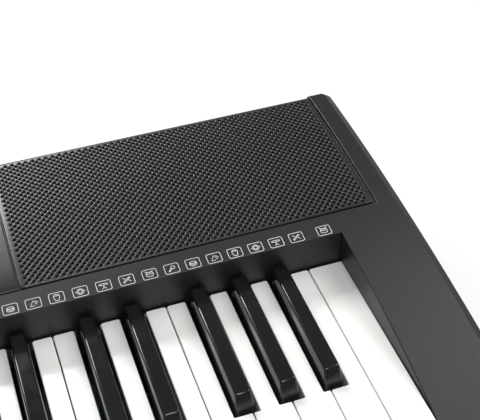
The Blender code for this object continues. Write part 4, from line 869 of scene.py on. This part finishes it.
note_sign = [arc(-0.7, -1.1, 0.65, 0.5), [(-0.05, -1.1), (-0.05, 1.6), (1.1, 0.9)]]
signs = {"rhythm": [[(x * 0.62, y * 0.62) for x, y in stroke] for stroke in drum],
         "tone": note_sign,
         "tempo_down": [[(-1.2, 0), (1.2, 0)]],
         "tempo_up": [[(-1.2, 0), (1.2, 0)], [(0, -1.2), (0, 1.2)]],
         "record": [arc(0, 0, 1.1, 1.1), arc(0, 0, 0.5, 0.5)],
         "play": [[(-0.9, -1.2), (-0.9, 1.2), (1.2, 0), (-0.9, -1.2)]],
         "start_stop": [[(-2.0, -1.0), (-2.0, 1.0), (-0.3, 0), (-2.0, -1.0)],
                        [(0.5, -0.9), (0.5, 0.9), (2.2, 0.9), (2.2, -0.9), (0.5, -0.9)]],
         "power": [arc(0, -0.1, 1.3, 1.3, 125, 415), [(0, 0.2), (0, 1.6)]],
         "0": [arc(0, 0, 0.9, 1.4)], "1": [[(-0.5, 0.9), (0.2, 1.4), (0.2, -1.4)]],
         "2": [[(-0.9, 0.9), (-0.3, 1.4), (0.5, 1.3), (0.9, 0.7), (-0.9, -1.4), (0.9, -1.4)]],
         "3": [[(-0.8, 1.4), (0.8, 1.4), (0, 0.3), (0.8, -0.2), (0.7, -1.1), (0, -1.4),
                (-0.8, -1.1)]],
         "4": [[(0.5, -1.4), (0.5, 1.4), (-0.9, -0.6), (0.9, -0.6)]],
         "5": [[(0.8, 1.4), (-0.7, 1.4), (-0.8, 0.2), (0.2, 0.3), (0.9, -0.5), (0.2, -1.4),
                (-0.8, -1.1)]],
         "6": [[(0.6, 1.4), (-0.5, 0.5), (-0.8, -0.5)], arc(0, -0.55, 0.85, 0.85)],
         "7": [[(-0.8, 1.4), (0.9, 1.4), (-0.2, -1.4)]],
         "8": [arc(0, 0.7, 0.7, 0.7), arc(0, -0.7, 0.85, 0.75)],
         "9": [arc(0, 0.55, 0.85, 0.85), [(0.85, 0.5), (0.5, -0.5), (-0.6, -1.4)]],
         "-": [[(-0.9, 0), (0.9, 0)]], "+": [[(-0.9, 0), (0.9, 0)], [(0, -0.9), (0, 0.9)]]}


def cap_sign(label, x, y):
    """Printed sign on the crown of the cap at x, y."""
    return ribbons(signs[label], x, y, lambda along, _: 0 * along + arch(y) + cap_rise)


silicone = moulded("moulded_silicone_grey", "#5f5f63", "#58585c", 0.0008, 0.00002, (0.50, 0.65))
for name, x, y in button_places:
    under = float(arch(y - 0.0045)) - deck_sink
    node = name + "_button"
    solid(name + "_cap", cap_shell(x, y, under, stem_low), silicone, node, [node])
    solid(name + "_sign", cap_sign(name, x, y), print_ink, node)
pad_front = pad_y - 0.0225
web_top = float(arch(pad_front - 0.0045)) - deck_sink
web = [level(rounded(pad_x, pad_y, 0.0265, 0.0270, 0.0020), z) for z in (web_top - 0.0010, web_top)]
pad_patches, pad_signs = shell(web), []
for label, x, y in pad_keys:
    at_corner = abs(x - pad_x) > 0.01 and abs(y - pad_y) > 0.02
    pad_patches += cap_shell(x, y, web_top + 0.0001, stem_low if at_corner else web_top - 0.0022)
    pad_signs += cap_sign(label, x, y)
solid("pad_mat", pad_patches, silicone, "number_pad", ["number_pad"])
solid("pad_signs", pad_signs, print_ink, "number_pad")


# Volume knob: a turned ABS knob with a finely ribbed grip, a dished top and a white pointer, on
# a shaft through the panel. A printed scale of ticks stands round it on the panel.

knob_base = float(arch(knob_place[1])) + panel_rise + 0.0006


def circle_points(x, y, radius, turn):
    """Plan points at the angles turn, on a circle whose radius may change from point to point."""
    return np.stack([x + radius * np.cos(turn), y + radius * np.sin(turn)], 1)


turn = np.linspace(0, 2 * math.pi, 97)[:-1]
knob_rings = []
for radius, z, rib in ((0.0080, 0.0065, 0), (0.0086, 0.0067, 0), (0.0090, 0.0073, 0),
                       (0.0095, 0.0075, 0), (0.0100, 0.0072, 0), (0.0104, 0.0066, 0.4),
                       (0.0108, 0.0030, 1), (0.0110, 0.0006, 1), (0.0107, 0.0, 0), (0.0030, 0.0, 0),
                       (0.0030, board_top + 0.0003 - knob_base, 0)):
    reach = radius - 0.0004 * rib * (1 + np.cos(32 * turn)) / 2
    knob_rings.append(level(circle_points(*knob_place, reach, turn), knob_base + z))
knob_abs = moulded("ribbed_abs_black", "#1d1d1f", "#212123", 0.0006, 0.00001, (0.30, 0.42))
solid("knob_grip", shell(knob_rings), knob_abs, "volume_knob", ["volume_knob"])
pointer = ribbons([[(0, 3.6), (0, 7.6)]], *knob_place, lambda x, y: 0 * x + knob_base + 0.0065,
                  width=0.0008)
solid("knob_pointer", pointer, print_ink, "volume_knob")
scale_lines = [[(reach * math.cos(mark), reach * math.sin(mark)) for reach in (13.0, 14.6)]
               for mark in np.radians(np.linspace(240, -60, 11))]


def above_panel(x, y):
    """Height of the panel's face at depth y."""
    return arch(y) + panel_rise


panel_print = ribbons(scale_lines, *knob_place, above_panel)
panel_print += ribbons([[(-20, -12.2), (-20, -11.2), (-15, -11.2), (-15, -12.2)]], *knob_place,
                       above_panel)
for low, high in ((-70, 30), (32, 70)):
    panel_print += ribbons([[(low, 7.0), (low, 8.4), (high, 8.4), (high, 7.0)]], 0.0, button_row_y,
                           above_panel)
pad_frame = rounded(0, 0, 31.0, 31.5, 3.0)
panel_print += ribbons([np.concatenate([pad_frame, pad_frame[:1]])], pad_x, pad_y, above_panel)
solid("panel_print", panel_print, print_ink, "case")


# Loudspeakers: full-range drivers behind the grilles, each a pressed basket with a rubber roll, a
# pulp cone, a dust cap and a magnet, held under the deck and tilted with its arch.

def lathe(profile, sides=48):
    """Rings of an (r, z) outline about the vertical, as one closed skin with flat ends."""
    turn = np.arange(sides) * 2 * math.pi / sides
    return shell([level(circle_points(0, 0, radius, turn), z) for radius, z in profile])


def placed(patches, matrix):
    """Patches moved by a matrix."""
    turn = np.array(matrix)
    return [(points @ turn[:3, :3].T + turn[:3, 3], faces) for points, faces in patches]


roll = [(0.0345 + 0.0030 * math.cos(angle), -0.0028 + 0.0022 * math.sin(angle))
        for angle in np.radians([180, 150, 120, 90, 60, 30, 0])]
driver = [(0.0020, -0.0118), (0.0070, -0.0128), (0.0110, -0.0160), (0.0130, -0.0185),
          (0.0200, -0.0125), (0.0310, -0.0040), *roll, (0.0384, -0.0028), (0.0385, -0.0003),
          (0.0390, 0.0), (0.0431, 0.0), (0.0435, -0.0004), (0.0435, -0.0022), (0.0280, -0.0200),
          (0.0278, -0.0215), (0.0240, -0.0216), (0.0240, -0.0336), (0.0236, -0.0340)]
cone_paper = moulded("pulp_cone_black", "#19191a", "#202021", 0.0009, 0.00006, (0.65, 0.85))
tilt = math.asin((crest_y - deck_middle_y) / arch_radius)
sag = arch_radius - math.sqrt(arch_radius ** 2 - 0.0435 ** 2)
seat_z = float(arch(deck_middle_y)) - 0.0039 - sag
for hand, label in ((-1, "left"), (1, "right")):
    seat = Matrix.Translation((hand * speaker_x, deck_middle_y, seat_z))
    solid("driver_" + label, placed(lathe(driver), seat @ Matrix.Rotation(tilt, 4, "X")),
          cone_paper, "case", ["speaker_" + label])


# Lower case: a tray of darker ABS with a tucked-in belly, a battery box open below, and wells for
# the screws that hold the two halves together. The front rail stands on it before the keys.

tray_low, tray_top, belly_z, belly_in = 0.0060, 0.0300, 0.0140, 0.0030
battery_half, battery_front, battery_rear, box_roof = 0.0550, 0.0623, 0.1123, 0.0285
well_places = [(x, y) for y in (-0.1180, 0.0180, 0.1310)
               for x in (-0.4450, -0.2300, 0.0, 0.2300, 0.4450)]
battery_y, battery_half_y = (battery_front + battery_rear) / 2, (battery_rear - battery_front) / 2
tray_holes = [(x, y, 0.0042, 0.0042, 0.0042, 0.0012) for x, y in well_places]
tray_holes.append((0.0, battery_y, battery_half + 0.0015, battery_half_y + 0.0015, 0.0012, 0.0030))
tray_x = np.concatenate([[-1.0], hole_lines(tray_holes, 0), [1.0]])
tray_y = hole_lines(tray_holes, 1, *np.linspace(front_y + belly_in, corner_y, 12), 0.1410, 0.1430,
                    0.1444, front_y, rear_y)
plan_x, plan_y = np.meshgrid(tray_x, tray_y)
plan_x[:, 0], plan_x[:, -1] = -side(tray_y) + belly_in, side(tray_y) - belly_in
belly = np.stack([plan_x, plan_y, np.where(plan_y < front_y + 0.001, 0.0100, tray_low)], 2)
tray_patches, tray_loops = punched(belly, tray_x, tray_y, tray_holes,
                                   lambda flat: np.full(len(flat), tray_low))
for (x, y, half, *_), loop in zip(tray_holes[:-1], tray_loops):
    middle = np.array([x, y])
    well = [loop, level(middle + (loop[:, :2] - middle) * 0.93, tray_low + 0.0050)]
    tray_patches += [tube(*well), cap(well[1])]
mouth = tray_loops[-1]
box_rings = [mouth, level(mouth[:, :2], tray_low + 0.0023)]
for z in (tray_low + 0.0023, box_roof):
    box_rings.append(level(rounded(0.0, battery_y, battery_half, battery_half_y, 0.0012), z))
tray_patches += [tube(*box_rings), cap(box_rings[-1])]


def tray_wall(edge, spread):
    """Quads from an edge of the tray's floor up over the belly to the rim, x moved by spread."""
    moved = np.stack([edge[:, 0] + spread, edge[:, 1]], 1)
    return grid(np.stack([edge, level(moved, belly_z), level(moved, tray_top)]))


ends = np.zeros(len(tray_x))
ends[[0, -1]] = -belly_in, belly_in
tray_patches += [tray_wall(belly[0], ends), tray_wall(belly[-1], ends),
                 tray_wall(belly[:, 0], -belly_in), tray_wall(belly[:, -1], belly_in)]
base_abs = moulded("moulded_abs_base", "#1d1d1f", "#19191b", 0.0008, 0.00003, (0.46, 0.62))
solid("tray", tray_patches, base_abs, "case", ["lower_case"], wall=0.0022,
      facing=-1, rounding=0.0004)
rail_rear, rail_top = front_y + 0.0110, 0.0500
nose = [(front_y + 0.0050 * (1 - math.sin(angle)), rail_top - 0.0050 * (1 - math.cos(angle)))
        for angle in np.radians(np.linspace(0, 90, 8))]
lip = [(rail_rear - 0.0006 * (1 - math.sin(angle)), rail_top - 0.0006 * (1 - math.cos(angle)))
       for angle in np.radians([90, 45, 0])]
rail = nose[::-1] + lip[::-1] + [(rail_rear, 0.0285), (front_y, 0.0285)]
solid("front_rail", prism(rail, -0.4235, 0.4235), case_abs, "case")
dividers = []
for bay in (-1, 1):
    y = battery_y + bay * 0.0083
    profile = [(y - 0.0006, tray_low + 0.0080), (y + 0.0006, tray_low + 0.0080),
               (y + 0.0009, box_roof), (y - 0.0009, box_roof)]
    dividers += prism(profile, -battery_half + 0.004, battery_half - 0.004)
solid("cell_dividers", dividers, base_abs, "case", rounding=0.0002)


# Screws: black pan heads with a cross recess, deep in the wells of the lower case.

def screw(x, y, z):
    """Domed head whose top ring dips into a cross-shaped recess."""
    turn = np.arange(24) * math.pi / 12
    cross = 0.0009 + 0.0010 * np.cos(4 * turn).clip(0) ** 2
    steps = ((0.0030, 0.0), (0.0031, -0.0008), (0.0027, -0.0015), (0.0021, -0.0018),
             (cross, -0.0019), (0.7 * cross, -0.0006))
    return shell([level(circle_points(x, y, radius, turn), z + rise) for radius, rise in steps])


# Zinc plating dyed black: dark metal with a soft shine.
black_zinc = moulded("black_zinc_steel", "#2e2e31", "#3a3a3e", 0.0012, 0.000005, (0.30, 0.42),
                     Metallic=1.0)
screws = [patch for x, y in well_places for patch in screw(x, y, tray_low + 0.0049)]
solid("case_screws", screws, black_zinc, "case")


# Battery door: a flat lid of the tray's ABS with a finger scoop and grip ridges. Rubber feet:
# soft discs pressed into the tray, rounded where they meet the table.

door_x, door_y = np.linspace(-0.0562, 0.0562, 91), np.linspace(0.0611, 0.1135, 43)
lid_x, lid_y = np.meshgrid(door_x, door_y)
reach = np.hypot(lid_x, (lid_y - 0.1035) * 1.15) / 0.0070
dish = 0.0012 * np.clip(1.25 - reach ** 2, 0.0, 1.0) ** 0.6
ridges = 0.0003 * np.clip(np.cos(lid_y * 2 * math.pi / 0.0020), 0, 1) * (reach < 0.8)
lid_low = np.stack([lid_x, lid_y, tray_low + dish - ridges * (dish > 0.001)], 2)
lid_rim = border(lid_low)
lid_top = lid_rim + [0, 0, 0.0020]
lid = [grid(lid_low), tube(lid_rim, lid_top), cap(lid_top)]
solid("battery_lid", lid, base_abs, "battery_door", ["battery_door"],
      rounding=0.0003)
foot_rubber = moulded("moulded_rubber_black", "#1a1a1b", "#1f1f20", 0.0010, 0.00003, (0.75, 0.9))
foot = [(0.0070, 0.0), (0.0086, 0.0), (0.0094, 0.0003), (0.0099, 0.0010), (0.0100, 0.0018),
        (0.0100, 0.0057)]
foot_x, foot_y = 0.4093, 0.1150
for end, y in (("front", -foot_y), ("rear", foot_y)):
    for hand, x in (("left", -foot_x), ("right", foot_x)):
        label = end + "_" + hand
        solid("pad_" + label, placed(lathe(foot, 40), Matrix.Translation((x, y, 0.0))),
              foot_rubber, "case", ["foot_" + label])


# Sockets at the rear: moulded black collars in the case wall in front of the sockets' bodies.

socket_black = moulded("moulded_nylon_black", "#161617", "#1b1b1c", 0.0008, 0.00001, (0.35, 0.5))
for label, x, inner in (("headphone", headphone_x, 0.0033), ("power", power_x, 0.0032)):
    rings = [(inner, 0.0), (inner, 0.0022), (inner + 0.0002, 0.0024), (inner + 0.0007, 0.0024),
             (inner + 0.0009, 0.0020), (inner + 0.0009, 0.0)]
    turn = np.arange(36) * math.pi / 18
    loops = [level(circle_points(x, socket_z, radius, turn), rear_y - 0.0025 + rise)[:, [0, 2, 1]]
             for radius, rise in rings + rings[:1]]
    solid(label + "_collar", [tube(*loops)], socket_black, "case")


# Inner pieces carried over from the frame: pressed steel key frame, felt strips, circuit boards
# and the contact strip. Only glimpses of them show between the keys and in the openings.

def inner_material(name, colours, scale, texture, rough, metallic=0.0, sheen=0.0):
    """Two colours mixed by a cell or noise pattern of the given size, with a matching bump."""
    material, shader = principled(name, Metallic=metallic, Roughness=rough, Sheen_Weight=sheen)
    place = add(material, "TexCoord", {}).outputs["Object"]
    pattern = add(material, texture, {"Vector": place, "Scale": 1 / scale})
    share = add(material, "MapRange", {"Value": pattern.outputs[0], "From Min": 0.3,
                                       "From Max": 0.7})
    tint = mixed(material, share, *colours)
    bump = add(material, "Bump", {"Height": share.outputs[0], "Distance": 0.00005, "Strength": 1.0})
    material.node_tree.links.new(tint, shader.inputs["Base Color"])
    material.node_tree.links.new(bump.outputs[0], shader.inputs["Normal"])
    return material


# Galvanised steel with pale spangles, felt with a soft nap, and boards with tracks under the
# green solder mask. Track and fibre patterns are drawn coarser than they are.
spangled = inner_material("galvanised_steel", ("#9a9a9c", "#b4b4b6"), 0.0060, "TexVoronoi", 0.38,
                          metallic=1.0)
felt = inner_material("wool_felt_red", ("#6e1216", "#8c1b20"), 0.0006, "TexNoise", 0.95, sheen=0.5)
mask = inner_material("solder_mask_green", ("#0f4a2a", "#1b6b40"), 0.0030, "TexVoronoi", 0.35)
for node, material in (("key_frame", spangled), ("white_key_felt", felt), ("black_key_felt", felt),
                       ("contact_board", mask), ("main_board", mask), ("jack_board", mask),
                       ("contact_strip", silicone), ("headphone_jack", socket_black),
                       ("power_jack", socket_black)):
    mesh = bpy.data.objects[node].data
    mesh.materials.clear()
    mesh.materials.append(material)


# Stage: a plain pale floor, and three soft boxes: a key from the right, one behind, one in front.

floor = bpy.data.objects.new("floor", bpy.data.meshes.new("floor"))
floor.data.from_pydata([(-4, -3, 0), (4, -3, 0), (4, 5, 0), (-4, 5, 0)], [], [(0, 1, 2, 3)])
bpy.context.scene.collection.objects.link(floor)
pale, paper = principled("matte_paper_white", Base_Color=linear("#e6e6e6"), Roughness=0.9)
sight = add(pale, "LightPath", {})
seen = add(pale, "Math", {0: sight.outputs["Is Camera Ray"], 1: sight.outputs["Is Glossy Ray"]},
           operation="MAXIMUM")
share = add(pale, "Math", {0: seen.outputs[0], 1: 0.6}, operation="MULTIPLY")
glow = add(pale, "Emission", {"Color": linear("#ffffff"), "Strength": 1.0})
surface = add(pale, "MixShader", {0: share.outputs[0], 1: paper.outputs[0], 2: glow.outputs[0]})
output = pale.node_tree.nodes["Material Output"]
pale.node_tree.links.new(surface.outputs[0], output.inputs["Surface"])
floor.data.materials.append(pale)


def soft_box(name, place, aim, width, height, power):
    """Rectangular lamp at place that faces aim."""
    lamp = bpy.data.lights.new(name, "AREA")
    lamp.shape, lamp.size, lamp.size_y, lamp.energy = "RECTANGLE", width, height, power
    box = bpy.data.objects.new(name, lamp)
    bpy.context.scene.collection.objects.link(box)
    away = (Vector(place) - Vector(aim)).to_track_quat("Z", "Y")
    box.matrix_world = Matrix.Translation(place) @ away.to_matrix().to_4x4()


soft_box("key_light", (1.5, 0.1, 1.5), (0.35, 0.0, 0.06), 1.2, 1.2, 16.0)
soft_box("rear_light", (-0.15, 1.45, 1.1), (0.1, 0.1, 0.09), 1.1, 0.5, 28.0)
soft_box("front_light", (0.2, -1.0, 1.6), (0.3, 0.0, 0.06), 1.0, 0.8, 18.0)
world = bpy.data.worlds.new("studio")
world.use_nodes = True
background = world.node_tree.nodes["Background"]
background.inputs["Color"].default_value = linear("#ffffff")
background.inputs["Strength"].default_value = 0.22
bpy.context.scene.world = world
bpy.context.scene.view_settings.view_transform = "Standard"
